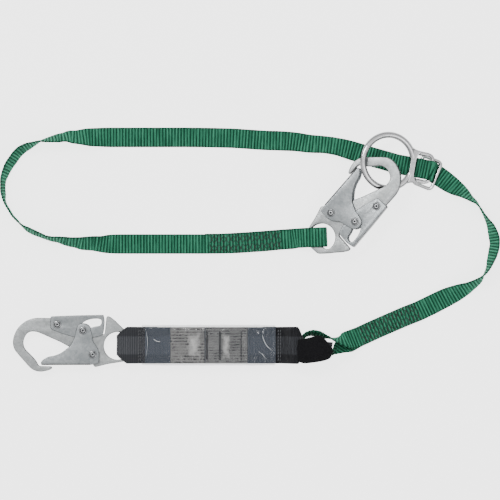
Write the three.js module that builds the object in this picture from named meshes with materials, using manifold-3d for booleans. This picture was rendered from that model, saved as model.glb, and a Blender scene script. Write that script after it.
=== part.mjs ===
// Shock-absorbing lanyard with a tie-back ring: two self-locking snap hooks, a tear-webbing
// shock pack in a clear sleeve, one webbing strap and a floating ring with its keeper link.
// Millimetres, +Z up, laid out on a flat surface at z = 0.
import * as THREE from 'three';
import { mergeVertices } from 'three/addons/utils/BufferGeometryUtils.js';
import Module from 'manifold-3d';

const wasm = await Module();
wasm.setup();

// ---------------------------------------------------------------- driving dimensions
const ORIGIN = [-26.8, -2.33];            // layout point that becomes the part's origin
const GAP = 0.3;                   // running clearance between touching pieces
// snap hook
const BODY_HALF = 3.25;            // half thickness of the hook body plate
const LOCK_IN = 3.6, LOCK_OUT = 5.1;   // lock lever cheeks, distance from the mid plane
const GATE_IN = 5.4, GATE_OUT = 6.9;   // gate cheeks
const HEAD_OUT = 8.8;              // top of the gate rivet heads
const RIVET_R = 2.5, HOLE_R = 2.8, HEAD_R = 4.8;
const LOCK_PIVOT = [-17.8, 22.3];
const LATCH_PIN = [13.1, 15.1];
const GATE_PIVOT = [24.8, -13.8];
const GATE_OPEN = 24 * Math.PI / 180;
const LOCK_PRESS = 11 * Math.PI / 180;
// strap
const STRAP_W = 24, STRAP_T = 1.8;
// ring forging
const RING_R = 32, RING_STOCK = 3.6, RING_TILT = 18.2 * Math.PI / 180;
const FRAME_Z = 9.8, FRAME_STOCK = 2.0, FRAME_HALF = 16.6, FRAME_END = 52.6;
const LINK_STOCK = 2.1, LINK_HALF = 17.35, LINK_LEN = 23.95;
// shock pack
const PACK_Y = -114.4, SLEEVE_HALF = 24.6, SLEEVE_H = 19, SLEEVE_WALL = 0.6;
const WEB_W = 44, WEB_T = 2;

// ---------------------------------------------------------------- outlines, hook frame
const BODY = [[-25.2, 29.8], [-34.3, 30.1], [-43.4, 30.1], [-49.9, 28.8], [-55.2, 26.6], [-60.4, 22.9],
  [-64.9, 18.5], [-68.2, 13.2], [-70.6, 6.7], [-71.4, 0.8], [-70.8, -4.3], [-68.9, -8.9],
  [-65.6, -12.8], [-62.3, -16.7], [-56.5, -23.2], [-52.0, -28.4], [-47.4, -32.3], [-42.1, -34.3],
  [-37.0, -34.7], [-30.5, -33.6], [-25.2, -31.7], [-24.0, -29.8], [-24.6, -28.3], [-38.4, -28.0],
  [-40.9, -26.5], [-42.8, -22.0], [-46.1, -18.0], [-51.2, -12.8], [-56.5, -7.6], [-58.4, -3.0],
  [-58.8, 1.6], [-57.1, 7.3], [-53.9, 11.9], [-48.7, 13.9], [-42.1, 13.2], [-34.3, 10.0],
  [-24.0, 5.4], [-13.6, 0.8], [-4.4, -4.3], [9.6, -12.0], [14.4, -18.0], [19.2, -22.0],
  [24.0, -23.3], [25.4, -27.1], [27.5, -29.3], [34.6, -27.4], [43.8, -25.2], [51.5, -24.1],
  [60.6, -22.6], [62.4, -22.2], [72.6, -8.4], [72.6, 6.0], [63.2, 15.8], [58.0, 20.4],
  [51.5, 26.9], [45.0, 31.8], [42.4, 32.0], [41.2, 31.2], [39.0, 10.2], [9.0, 10.2], [7.2, 23.4],
  [-24.6, 28.8]];
const EYE = [[60.6, 11.0], [58.7, 12.7], [54.0, 13.2], [49.4, 12.4], [45.2, 10.3], [41.7, 7.2], [39.3, 3.2],
  [38.0, -1.3], [38.0, -5.9], [39.3, -10.4], [41.7, -14.4], [45.2, -17.5], [49.4, -19.6],
  [54.0, -20.4], [58.7, -19.9], [60.6, -18.2], [62.4, -16.2], [62.4, 9.0]];
const GATE = [[-37.2, -26.5], [-37.6, -23.2], [-35.0, -19.9], [-29.2, -16.7], [-21.4, -15.4], [-13.6, -12.1],
  [-8.3, -8.3], [-1.8, -3.0], [3.4, 7.3], [4.7, 13.9], [6.6, 20.4], [9.1, 22.6], [12.5, 23.6],
  [17.6, 22.9], [21.6, 19.7], [24.2, 8.6], [25.4, 0.8], [30.7, -5.6], [32.6, -13.4],
  [32.0, -24.5], [22.8, -26.3]];
const LOCK = [[-25.2, 32.0], [4.7, 33.1], [37.6, 33.7], [38.9, 25.6], [38.3, 17.8], [37.2, 11.3],
  [35.9, 9.4], [31.3, 7.7], [26.2, 6.7], [1.4, 7.3], [-13.6, 11.9], [-25.9, 16.7], [-25.9, 31.0]];
const LOCK_WEB = [[-24.0, 32.0], [4.7, 33.1], [37.6, 33.7], [37.8, 32.0], [4.7, 31.4], [-24.0, 30.6]];
const LOCK_WINDOW = [[11.9, 24.0], [17.6, 27.5], [24.2, 29.2], [30.7, 29.5], [34.9, 28.0], [35.9, 24.2],
  [35.3, 21.0], [30.7, 19.7], [23.5, 18.8]];

// ---------------------------------------------------------------- helpers
function solid(g) {
  const q = g.clone();
  q.deleteAttribute('normal'); q.deleteAttribute('uv');
  const m = mergeVertices(q, 1e-4);
  const idx = m.index.array, tri = [];
  for (let i = 0; i < idx.length; i += 3) {
    const [a, b, c] = [idx[i], idx[i + 1], idx[i + 2]];
    if (a !== b && b !== c && a !== c) tri.push(a, b, c);
  }
  const mesh = new wasm.Mesh({ numProp: 3,
    vertProperties: new Float32Array(m.attributes.position.array),
    triVerts: new Uint32Array(tri) });
  mesh.merge();
  return new wasm.Manifold(mesh);
}
function geometry(man) {
  const m = man.getMesh();
  const g = new THREE.BufferGeometry();
  g.setAttribute('position', new THREE.BufferAttribute(new Float32Array(m.vertProperties), 3));
  g.setIndex(new THREE.BufferAttribute(new Uint32Array(m.triVerts), 1));
  g.computeVertexNormals();
  return g;
}
const union = (...a) => a.reduce((p, q) => p.add(q));
function shape(pts, holes = []) {
  const s = new THREE.Shape(pts.map(p => new THREE.Vector2(p[0], p[1])));
  for (const h of holes) s.holes.push(new THREE.Path(h.map(p => new THREE.Vector2(p[0], p[1]))));
  return s;
}
const circle = (c, r, n = 16) => Array.from({ length: n }, (_, i) =>
  [c[0] + r * Math.cos(2 * Math.PI * i / n), c[1] + r * Math.sin(2 * Math.PI * i / n)]);
function prism(sh, depth, m) {
  const g = new THREE.ExtrudeGeometry(sh, { depth, bevelEnabled: false, curveSegments: 8 });
  if (m) g.applyMatrix4(m);
  return solid(g);
}
const V = (x, y, z) => new THREE.Vector3(x, y, z);
const prismZ = (sh, z0, z1) => prism(sh, z1 - z0, new THREE.Matrix4().makeTranslation(0, 0, z0));
const prismX = (sh, x0, x1) => prism(sh, x1 - x0,
  new THREE.Matrix4().makeBasis(V(0, 1, 0), V(0, 0, 1), V(1, 0, 0)).setPosition(x0, 0, 0));
const prismY = (sh, y0, y1) => prism(sh, y1 - y0,
  new THREE.Matrix4().makeBasis(V(1, 0, 0), V(0, 0, 1), V(0, -1, 0)).setPosition(0, y1, 0));
const drum = (c, r, z0, z1, n = 16) => prismZ(shape(circle(c, r, n)), z0, z1);
// band of thickness t along a polyline, as a closed outline
function band(pts, t) {
  const n = pts.length, L = [], R = [];
  for (let i = 0; i < n; i++) {
    const a = pts[Math.max(0, i - 1)], b = pts[i], c = pts[Math.min(n - 1, i + 1)];
    const u = new THREE.Vector2(b[0] - a[0], b[1] - a[1]), v = new THREE.Vector2(c[0] - b[0], c[1] - b[1]);
    if (i === 0) u.copy(v); if (i === n - 1) v.copy(u);
    u.normalize(); v.normalize();
    const m = u.clone().add(v).normalize(), k = t / 2 / Math.max(0.5, m.dot(u));
    L.push([b[0] - m.y * k, b[1] + m.x * k]); R.push([b[0] + m.y * k, b[1] - m.x * k]);
  }
  return L.concat(R.reverse());
}
const arc = (cx, cy, r, a0, a1, n) => Array.from({ length: n + 1 }, (_, i) => {
  const a = (a0 + (a1 - a0) * i / n) * Math.PI / 180; return [cx + r * Math.cos(a), cy + r * Math.sin(a)]; });
// round wire along points; closed loops join on themselves
function wire(pts, r, sides = 8, closed = false) {
  const P = pts.map(p => V(...p)), n = P.length, ring = [], pos = [], tri = [];
  let nrm = null;
  for (let i = 0; i < n; i++) {
    const a = P[closed ? (i - 1 + n) % n : Math.max(0, i - 1)], b = P[closed ? (i + 1) % n : Math.min(n - 1, i + 1)];
    const t = b.clone().sub(a).normalize();
    if (!nrm) nrm = Math.abs(t.z) < 0.9 ? V(0, 0, 1) : V(1, 0, 0);
    nrm = nrm.clone().sub(t.clone().multiplyScalar(nrm.dot(t))).normalize();
    const bi = t.clone().cross(nrm);
    for (let k = 0; k < sides; k++) {
      const q = 2 * Math.PI * k / sides;
      const p = P[i].clone().addScaledVector(nrm, r * Math.cos(q)).addScaledVector(bi, r * Math.sin(q));
      pos.push(p.x, p.y, p.z);
    }
  }
  const m = closed ? n : n - 1;
  for (let i = 0; i < m; i++) for (let k = 0; k < sides; k++) {
    const a = i * sides + k, b = i * sides + (k + 1) % sides, j = (i + 1) % n;
    const c = j * sides + k, d = j * sides + (k + 1) % sides;
    tri.push(a, b, d, a, d, c);
  }
  if (!closed) for (let k = 1; k < sides - 1; k++) {
    tri.push(0, k + 1, k);
    const o = (n - 1) * sides; tri.push(o, o + k, o + k + 1);
  }
  const g = new THREE.BufferGeometry();
  g.setAttribute('position', new THREE.BufferAttribute(new Float32Array(pos), 3));
  g.setIndex(tri);
  return solid(g);
}

const lanyard = new THREE.Group();
function add(parent, name, man, mat) {
  const mesh = new THREE.Mesh(geometry(man), mat);
  mesh.name = name; parent.add(mesh); return mesh;
}
const zinc = new THREE.MeshStandardMaterial({ color: 0xb4b8b9, roughness: 0.5, metalness: 0.85 });
const polished = new THREE.MeshStandardMaterial({ color: 0xc9cccd, roughness: 0.28, metalness: 0.95 });
const spring = new THREE.MeshStandardMaterial({ color: 0x777c80, roughness: 0.35, metalness: 0.9 });
const green = new THREE.MeshStandardMaterial({ color: 0x1f6b45, roughness: 0.85, metalness: 0 });
const black = new THREE.MeshStandardMaterial({ color: 0x1b1c1e, roughness: 0.9, metalness: 0 });
const padFabric = new THREE.MeshStandardMaterial({ color: 0x08080a, roughness: 0.95, metalness: 0 });
const clear = new THREE.MeshStandardMaterial({ color: 0xd6d9da, roughness: 0.15, metalness: 0, transparent: true, opacity: 0.35 });
const labelStock = new THREE.MeshStandardMaterial({ color: 0x8d8c8a, roughness: 0.6, metalness: 0 });
const tearGrey = new THREE.MeshStandardMaterial({ color: 0x4b5158, roughness: 0.85, metalness: 0 });

// ---------------------------------------------------------------- snap hook
function hook(prefix) {
  const g = new THREE.Group();
  // body: one plate with the eye, pivot holes and two spring pockets
  let body = prismZ(shape(BODY), -BODY_HALF, BODY_HALF).subtract(prismZ(shape(EYE), -10, 10));
  body = body.subtract(drum(GATE_PIVOT, HOLE_R, -10, 10)).subtract(drum(LOCK_PIVOT, HOLE_R, -10, 10));
  body = body.subtract(drum(GATE_PIVOT, 5.7, 1.6, 10, 20)).subtract(drum(LOCK_PIVOT, 4.6, 0.6, 10, 20));
  const [lx, ly] = LOCK_PIVOT;
  const sector = [[lx, ly]].concat(arc(lx, ly, 14, -24, 70, 6));
  body = body.subtract(prismZ(shape(sector), 2.0, 10));
  add(g, prefix + '_body', body, zinc);

  // gate: two cheeks joined by a web along the lower edge
  const web = [[-37.2, -26.4], [22.4, -26.4], [22.4, -24.6], [-37.2, -24.6]];
  let gate = union(prismZ(shape(GATE), GATE_IN, GATE_OUT), prismZ(shape(GATE), -GATE_OUT, -GATE_IN),
    prismZ(shape(web), -GATE_OUT, GATE_OUT));
  gate = gate.subtract(drum(GATE_PIVOT, HOLE_R, -10, 10)).subtract(drum(LATCH_PIN, HOLE_R, -10, 10));
  add(g, prefix + '_gate', gate, zinc);

  // lock lever: two cheeks inside the gate's, joined along the thumb edge; its slot frees the
  // latch pin along the path the pin takes as the gate opens
  let lock = union(prismZ(shape(LOCK), LOCK_IN, LOCK_OUT),
    prismZ(shape(LOCK), -LOCK_OUT, -LOCK_IN), prismZ(shape(LOCK_WEB), -LOCK_OUT, LOCK_OUT));
  lock = lock.subtract(prismZ(shape(LOCK_WINDOW), -10, 10));
  lock = lock.subtract(drum(LOCK_PIVOT, HOLE_R, -10, 10));
  const spin = (p, c, a) => [c[0] + (p[0] - c[0]) * Math.cos(a) - (p[1] - c[1]) * Math.sin(a),
    c[1] + (p[0] - c[0]) * Math.sin(a) + (p[1] - c[1]) * Math.cos(a)];
  for (let i = 0; i <= 10; i++) {
    const s = i / 10, p = spin(spin(LATCH_PIN, GATE_PIVOT, -GATE_OPEN * s), LOCK_PIVOT, LOCK_PRESS * s);
    lock = lock.subtract(drum(p, HOLE_R + 0.15, -10, 10, 14));
  }
  add(g, prefix + '_lock_lever', lock, zinc);

  // rivets
  const rivet = (c, head0, head1) => {
    const p = [[0, -head1], [HEAD_R * 0.62, -head1 + 0.15], [HEAD_R, -head1 + 0.9], [HEAD_R, -head0], [RIVET_R, -head0],
      [RIVET_R, head0], [HEAD_R, head0], [HEAD_R, head1 - 0.9], [HEAD_R * 0.62, head1 - 0.15], [0, head1]];
    const q = new THREE.LatheGeometry(p.map(v => new THREE.Vector2(v[0], v[1])), 20);
    q.rotateX(Math.PI / 2).translate(c[0], c[1], 0);
    return solid(q);
  };
  add(g, prefix + '_gate_rivet', rivet(GATE_PIVOT, GATE_OUT + GAP, HEAD_OUT), zinc);
  add(g, prefix + '_latch_rivet', rivet(LATCH_PIN, GATE_OUT + GAP, HEAD_OUT), zinc);
  add(g, prefix + '_lock_rivet', rivet(LOCK_PIVOT, LOCK_OUT + GAP, LOCK_OUT + GAP + 1.6), zinc);

  // torsion springs in their pockets, one leg each under the piece that they return
  const coil = (c, r, z0, pitch, turns, a1, leg) => {
    const n = Math.round(turns * 14), pts = [];
    const a0 = a1 - turns * 360;
    for (let i = 0; i <= n; i++) {
      const a = (a0 + (a1 - a0) * i / n) * Math.PI / 180;
      pts.push([c[0] + r * Math.cos(a), c[1] + r * Math.sin(a), z0 + pitch * turns * i / n]);
    }
    const e = pts[n], a = a1 * Math.PI / 180, t = [-Math.sin(a), Math.cos(a)];
    for (const d of [0.3, 0.65, 1]) pts.push([e[0] + t[0] * leg * d, e[1] + t[1] * leg * d, e[2]]);
    return wire(pts, 0.42, 6);
  };
  add(g, prefix + '_gate_spring', coil(GATE_PIVOT, 3.9, 2.4, 1.1, 2.1, 105, 17), spring);
  add(g, prefix + '_lock_spring', coil(LOCK_PIVOT, 3.7, 1.35, 1.05, 1.45, -36, 12.3), spring);
  return g;
}
const hookA = hook('pack_hook');
hookA.position.set(-213.6, -111.6, 8.8);
lanyard.add(hookA);
const hookB = hook('strap_hook');
hookB.position.set(124.7, 53.6, 20.5);
hookB.rotation.set(12 * Math.PI / 180, 7.5 * Math.PI / 180, -131.05 * Math.PI / 180, 'ZYX');
lanyard.add(hookB);

// ---------------------------------------------------------------- tie-back ring forging
{
  const g = new THREE.Group();
  const zc = FRAME_Z + RING_R * Math.sin(RING_TILT);
  const torus = new THREE.TorusGeometry(RING_R, RING_STOCK, 10, 44);
  torus.rotateY(RING_TILT).translate(0, 0, zc);
  const tilt = (p, v) => [p * Math.cos(RING_TILT), v, zc - p * Math.sin(RING_TILT)];
  const e = FRAME_END, h = FRAME_HALF, z = FRAME_Z, half = [tilt(23.8, 21.4), [27.5, 18.6, z + 1.1], [33, 16.8, z + 0.1], [40, h, z], [e - 6, h, z],
    [e - 2.4, h - 1.1, z], [e - 0.5, h - 3.2, z], [e, h - 6, z]];
  const side = half.concat(half.slice().reverse().map(p => [p[0], -p[1], p[2]]));
  const bar = prismX(shape([[-17, z - 2.6], [17, z - 2.6], [17, z + 2.0], [16.4, z + 2.6], [-16.4, z + 2.6], [-17, z + 2.0]]), 27, 33);
  const ring = union(solid(torus), wire(side, FRAME_STOCK, 10), bar);
  g.position.set(165.6, 106.1, 0);
  g.rotation.set(0, 0, -10 * Math.PI / 180);
  add(g, 'tie_back_ring', ring, polished);
  lanyard.add(g);
}
// keeper link: a closed wire rectangle round the frame's end
{
  const g = new THREE.Group();
  const a = LINK_LEN, b = LINK_HALF, r = 4.5, pts = [];
  for (const [cx, cy, s] of [[a - r, b - r, 0], [r, b - r, 90], [r, -b + r, 180], [a - r, -b + r, 270]])
    for (const p of arc(cx, cy, r, s, s + 90, 4)) pts.push([p[0], p[1], 0]);
  add(g, 'keeper_link', wire(pts, LINK_STOCK, 8, true), polished);
  g.position.set(202.1, 97.6, 2.2);
  g.rotation.set(0, -Math.atan2(2.75, LINK_LEN), -22 * Math.PI / 180, 'ZYX');
  lanyard.add(g);
}

// ---------------------------------------------------------------- strap
// Stations: x, y, roll about the run (0 = flat, 90 = on its inner-side-up edge), extra height.
const OUTER_RUN = [[51.6, 13.1, 0, 2.15], [36.0, 12.0, 0, 2.15], [18.0, 10.2, 0, 2.15], [0.0, 9.0, 0, 2.15],
  [-18.0, 7.8, 0, 2.15], [-56.4, 7.2, 0, 2.15], [-72.0, 7.2, 0, 0.9], [-93.6, 7.2, 0, 0],
  [-126.0, 7.2, 0, 0], [-158.4, 7.2, 8, 0], [-172.8, 7.2, 25, 0], [-180.0, 7.2, 37, 0],
  [-187.2, 7.8, 42, 0], [-201.6, 8.0, 50, 0], [-208.8, 8.9, 58, 0], [-216.0, 9.6, 62, 0],
  [-223.2, 11.0, 66, 0], [-230.4, 12.5, 73, 0], [-237.6, 13.2, 77, 0], [-244.8, 15.0, 80, 0],
  [-252.0, 18.0, 78, 0], [-259.2, 21.0, 76, 0], [-266.4, 24.6, 77, 0], [-273.6, 29.4, 86, 0],
  [-280.2, 36.0, 90, 0], [-285.6, 42.0, 90, 0], [-289.2, 48.0, 90, 0], [-292.8, 54.0, 90, 0],
  [-295.2, 60.0, 92, 0], [-296.0, 66.0, 98, 0], [-296.8, 72.0, 100, 0], [-296.8, 78.0, 100, 0],
  [-296.4, 84.0, 103, 0], [-294.6, 90.0, 107, 0], [-292.2, 96.0, 110, 0], [-289.2, 102.0, 113, 0],
  [-285.0, 108.0, 114, 0], [-280.8, 114.0, 114, 0], [-274.8, 120.0, 113, 0],
  [-266.4, 124.8, 108, 0], [-259.2, 127.8, 98, 0], [-252.0, 130.8, 88, 0], [-244.8, 132.0, 78, 0],
  [-237.6, 133.2, 70, 0], [-230.4, 134.4, 63, 0], [-223.2, 135.6, 61, 0], [-216.0, 136.0, 50, 0],
  [-208.8, 135.6, 46, 0], [-201.6, 135.6, 37, 0], [-194.4, 135.6, 25, 0], [-180.0, 135.6, 15, 0],
  [-165.6, 135.6, 0, 0], [-120.0, 135.6, 0, 0], [-72.0, 135.6, 0, 0], [-36.0, 135.0, 0, 0],
  [-18.0, 134.4, 0, 0], [0.0, 133.2, 0, 0], [18.0, 132.0, 0, 0], [36.0, 131.4, 0, 0],
  [54.0, 130.2, 15, 0], [72.0, 127.8, 22, 0], [90.0, 126.6, 28, 0], [105.6, 124.1, 25, 0],
  [122.4, 119.6, 12, 0], [146.4, 112.2, 6, 0], [165.6, 106.8, 3, 0], [176.4, 103.7, 0, 0]];
const RING_RETURN = [[244.8, 76.3, 30, 0], [256.8, 68.4, 55, 0], [265.2, 61.8, 72, 0], [272.4, 56.4, 82, 0],
  [276.6, 50.4, 88, 0], [280.8, 43.2, 90, 0], [285.0, 36.0, 97, 0], [289.2, 28.8, 108, 0],
  [291.6, 21.6, 115, 0], [293.4, 14.4, 118, 0], [294.0, 7.2, 116, 0], [292.8, 0.0, 116, 0],
  [291.0, -7.2, 113, 0], [288.6, -14.4, 107, 0], [286.2, -21.6, 98, 0], [282.0, -28.8, 90, 0],
  [275.4, -36.6, 72, 0], [264.0, -44.0, 58, 0], [252.0, -49.8, 39, 0], [235.2, -57.6, 15, 0]];
const PACK_LINK = [[217.2, -66.6, 0, 1.2], [201.6, -74.0, 0, 2.15], [188.4, -79.2, 0, 2.15],
  [171.6, -86.4, 0, 2.15], [156.0, -93.2, 0, 2.15], [144.0, -98.6, 0, 2.15],
  [134.4, -103.1, 0, 2.15], [127.2, -105.8, -8, 2.4], [121.8, -107.4, -20, 2.6],
  [116.4, -108.2, -38, 2.5], [111.6, -108.5, -55, 2.2], [106.8, -108.1, -70, 1.6],
  [101.4, -107.2, -84, 0.9], [96.0, -105.6, -93, 0.8], [90.0, -104.0, -102, 1.7],
  [84.0, -101.4, -108, 2.4], [75.6, -99.6, -108, 2.5], [67.2, -101.6, -103, 2.5],
  [62.4, -107.4, -98, 2.5], [60.7, -114.7, -94, 2.5], [62.4, -122.4, -91, 2.5],
  [67.2, -127.4, -90, 2.5], [74.4, -129.5, -90, 2.4], [84.0, -129.2, -90, 1.8],
  [92.4, -126.8, -91, 1], [99.6, -123.6, -98, 0.3], [105.6, -120.0, -117, 0],
  [110.4, -116.8, -137, 0], [115.2, -113.8, -157, 0], [120.0, -110.9, -171, 0],
  [124.8, -108.1, -178, 0], [132.0, -104.2, -180, 0], [144.0, -98.6, -180, 0],
  [156.0, -93.2, -180, 0], [171.6, -86.4, -180, 0], [188.4, -79.2, -180, 0],
  [199.2, -75.0, -180, 0]];
const flatZ = (roll, dz) => {
  const a = roll * Math.PI / 180;
  return STRAP_W / 2 * Math.abs(Math.sin(a)) + STRAP_T / 2 * Math.abs(Math.cos(a)) + 0.05 + dz;
};
function route() {
  const out = [];   // {p, w}
  const wf = V(-0.04, 0.999, 0).normalize();
  // sewn tail, round the eye of the strap hook, back over the top
  for (const [x, y, z] of [[-54.0, 7.8, 0.95], [-36.0, 8.0, 0.95], [-12.0, 9.2, 0.95], [18.0, 11.3, 0.95], [42.0, 13.2, 0.95], [60.0, 14.4, 0.95], [75.0, 15.1, 0.95], [83.5, 15.4, 1.5], [89.3, 15.6, 4.2], [91.5, 15.7, 8.2], [91.6, 15.7, 12.6], [90.0, 15.6, 16.6], [86.5, 15.5, 18.3], [82.0, 15.3, 17.2], [76.0, 15.1, 15.6], [70.0, 14.9, 14.1], [66.6, 14.8, 13], [62.0, 14.5, 10.2], [56.5, 14.1, 6.4]])
    out.push({ p: V(x, y, z), w: wf.clone() });
  const rest = OUTER_RUN.map(s => [s[0], s[1], flatZ(s[2], s[3]), s[2]]);
  // under the ring's bar, over the link's first bar and the frame's end, under the link's last bar
  const A = [186.0, 102.1], B = [217.6, 95.3], C = [225.5, 90.1], D = [235.4, 83.5];
  const ab = Math.hypot(B[0] - A[0], B[1] - A[1]), bc = Math.hypot(C[0] - B[0], C[1] - B[1]), cd = Math.hypot(D[0] - C[0], D[1] - C[1]);
  const mix = (p, q, f) => [p[0] + (q[0] - p[0]) * f, p[1] + (q[1] - p[1]) * f];
  const at = d => d < 0 ? mix(B, A, -d / ab) : d < bc ? mix(B, C, d / bc) : mix(C, D, (d - bc) / cd);
  for (const [d, z, hd] of [[-25, 0.97, -12], [-22.8, 1.5, -13], [-21.2, 2.8, -15], [-19.9, 4.6, -17], [-18.2, 5.9, -18], [-15.6, 6.4, -18], [-11.5, 8.4, -12], [-7, 11.5, -10], [-3.6, 13.1, -10],
    [0, 13.4, -10], [2.3, 12.7, -10], [3.25, 11.0, -10], [4.1, 7.4, -15], [4.8, 3.9, -22], [5.8, 1.8, -23], [9.4, 0.97, -24], [13, 0.97, -26]])
    rest.push([...at(d), z, 0, hd]);
  for (const s of RING_RETURN.concat(PACK_LINK)) rest.push([s[0], s[1], flatZ(s[2], s[3]), s[2]]);
  for (let i = 0; i < rest.length; i++) {
    const a = rest[Math.max(0, i - 1)], b = rest[Math.min(rest.length - 1, i + 1)], s = rest[i];
    const t = new THREE.Vector2(b[0] - a[0], b[1] - a[1]).normalize(), q = s[3] * Math.PI / 180;
    if (s[4] !== undefined) t.set(Math.cos(s[4] * Math.PI / 180), Math.sin(s[4] * Math.PI / 180));
    out.push({ p: V(s[0], s[1], s[2]), w: V(t.y * Math.cos(q), -t.x * Math.cos(q), Math.sin(q)) });
  }
  return out;
}
export function strapStations(step) {
  const R = route();
  const curve = new THREE.CatmullRomCurve3(R.map(s => s.p), false, 'centripetal');
  const out = [];
  for (let i = 0; i < R.length - 1; i++) {
    const len = R[i].p.distanceTo(R[i + 1].p), n = Math.max(1, Math.round(len / step));
    for (let k = 0; k < n + (i === R.length - 2 ? 1 : 0); k++) {
      const f = k / n, u = (i + f) / (R.length - 1);
      const p = curve.getPoint(u), t = curve.getTangent(u);
      const w = R[i].w.clone().lerp(R[i + 1].w, f);
      w.addScaledVector(t, -w.dot(t)).normalize();
      const nz = w.clone().cross(t).z, low = p.z - STRAP_W / 2 * Math.abs(w.z) - STRAP_T / 2 * Math.abs(nz);
      if (low < 0.04) p.z += 0.04 - low;
      out.push({ p, t, w });
    }
  }
  return out;
}
{
  const S = strapStations(11), pos = [], tri = [];
  S.forEach(({ p, t, w }) => {
    const n = w.clone().cross(t).normalize();
    for (const [a, b] of [[1, 1], [-1, 1], [-1, -1], [1, -1]]) {
      const q = p.clone().addScaledVector(w, a * STRAP_W / 2).addScaledVector(n, b * STRAP_T / 2);
      pos.push(q.x, q.y, q.z);
    }
  });
  for (let i = 0; i < S.length - 1; i++) for (let k = 0; k < 4; k++) {
    const a = i * 4 + k, b = i * 4 + (k + 1) % 4, c = a + 4, d = b + 4;
    if (k === 0) tri.push(a, c, b, c, d, b); else tri.push(a, d, b, a, c, d);
  }
  const o = (S.length - 1) * 4;
  tri.push(0, 1, 2, 0, 2, 3, o, o + 2, o + 1, o, o + 3, o + 2);
  const g = new THREE.BufferGeometry();
  g.setAttribute('position', new THREE.BufferAttribute(new Float32Array(pos), 3));
  g.setIndex(tri);
  let m = solid(g);
  if (m.volume() < 0) throw new Error('strap is inside out');
  add(lanyard, 'lanyard_strap', m, green);
}

// ---------------------------------------------------------------- shock pack
{
  const X = { fold: -151.8, tail: -111.6 };
  const plan = (pts) => prismZ(shape(pts), -5, 60);
  // front loop: webbing round the pack hook's eye bar
  const c = 8.8, h = 7.6;
  const leg = [[-111.6, c + 1.35], [-128.4, c + 1.5], [-136.2, c + h - 1.2], [-140.4, c + h]];
  const line = leg.concat(arc(X.fold, c, h, 90, 270, 10), leg.slice().reverse().map(p => [p[0], 2 * c - p[1]]));
  const y = PACK_Y, n = 12, w = WEB_W / 2;
  const loop = prismY(shape(band(line, WEB_T)), y - 23, y + 23).intersect(plan([[-168.0, y - n], [-145.4, y - n], [-144.2, y - w],
    [-108.0, y - w], [-108.0, y + w], [-144.2, y + w], [-145.4, y + n], [-168.0, y + n]]));
  add(lanyard, 'front_web_loop', loop, black);

  // rear loop: webbing that the strap links through
  const up = [[15.6, 10.3], [32.4, 10.6], [39.6, 13.5], [48.0, 22.0], [55.2, 27.2], [58.8, 28.0], [82.8, 28.0]];
  const lo = [[82.8, 1.15], [55.2, 1.15], [45.6, 1.8], [37.2, 5.2], [32.4, 7.4], [15.6, 7.7]];
  const rear = up.concat(arc(84.4, 14.57, 13.43, 75, -75, 8), lo);
  const yr = -115.7;
  const rearLoop = prismY(shape(band(rear, WEB_T)), y - 23, y + 23).intersect(plan([[6.0, y - w], [59.4, y - w], [65.4, yr - 8.4],
    [102.0, yr - 4.5], [102.0, yr + 4.5], [65.4, yr + 8.4], [59.4, y + w], [6.0, y + w]]));
  add(lanyard, 'rear_web_loop', rearLoop, black);

  // wear pad over the rear loop
  const pad = [[56.4, 30.3], [82.8, 30.3], [92.4, 29.8], [100.3, 28.7]];
  const padS = prismY(shape(band(pad, 1.2)), y - 40, y + 40).intersect(plan([[56.9, -106.9], [63.8, -106.2], [83.6, -101.6], [89.8, -106.2],
    [99.8, -118.8], [96.6, -130.0], [87.5, -133.0], [64.6, -136.1], [56.9, -132.0]].slice().reverse()));
  add(lanyard, 'wear_pad', padS, padFabric);

  // tear webbing folded back and forth between the loops' tails
  const x0 = -105.6, x1 = 9.6, pitch = 2.5, zig = [];
  for (let i = 0; i < 6; i++) {
    const z = 2.3 + i * pitch, a = i % 2 ? x1 : x0, b = i % 2 ? x0 : x1;
    if (i === 0) zig.push([a, z]);
    const s = i % 2 ? -1 : 1;
    if (i < 5) zig.push(...arc(b, z + pitch / 2, pitch / 2, -90, s > 0 ? 90 : -270, 6).map(p => [p[0], p[1]]));
    else zig.push([b, z]);
  }
  add(lanyard, 'tear_webbing', prismY(shape(band(zig, 2.1)), y - 21.5, y + 21.5), tearGrey);

  // labels under the sleeve
  const box = (xa, xb, ya, yb, za, zb) => prismZ(shape([[xa, ya], [xb, ya], [xb, yb], [xa, yb]]), za, zb);
  add(lanyard, 'rating_label', box(-94.8, -55.2, y - 20.5, y + 20.5, 16.3, 16.9), labelStock);
  add(lanyard, 'inspection_booklet', box(-52.8, -3.6, y - 20.5, y + 20.5, 16.3, 17.5), labelStock);

  // clear shrink sleeve, open at both ends
  const rr = (hw, z0, z1, r) => [].concat(arc(y + hw - r, z0 + r, r, -90, 0, 3), arc(y + hw - r, z1 - r, r, 0, 90, 3),
    arc(y - hw + r, z1 - r, r, 90, 180, 3), arc(y - hw + r, z0 + r, r, 180, 270, 3));
  const t = SLEEVE_WALL;
  const sleeve = prismX(shape(rr(SLEEVE_HALF, 0, SLEEVE_H, 4), [rr(SLEEVE_HALF - t, t, SLEEVE_H - t, 3.4)]), -129.6, 30.0);
  add(lanyard, 'shrink_sleeve', sleeve, clear);
}

lanyard.position.set(-ORIGIN[0], -ORIGIN[1], 0);
lanyard.updateMatrixWorld(true);
export default lanyard;
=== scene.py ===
import bpy, bmesh, json, math, random
import numpy as np
from mathutils import Vector, Matrix, noise


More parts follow.
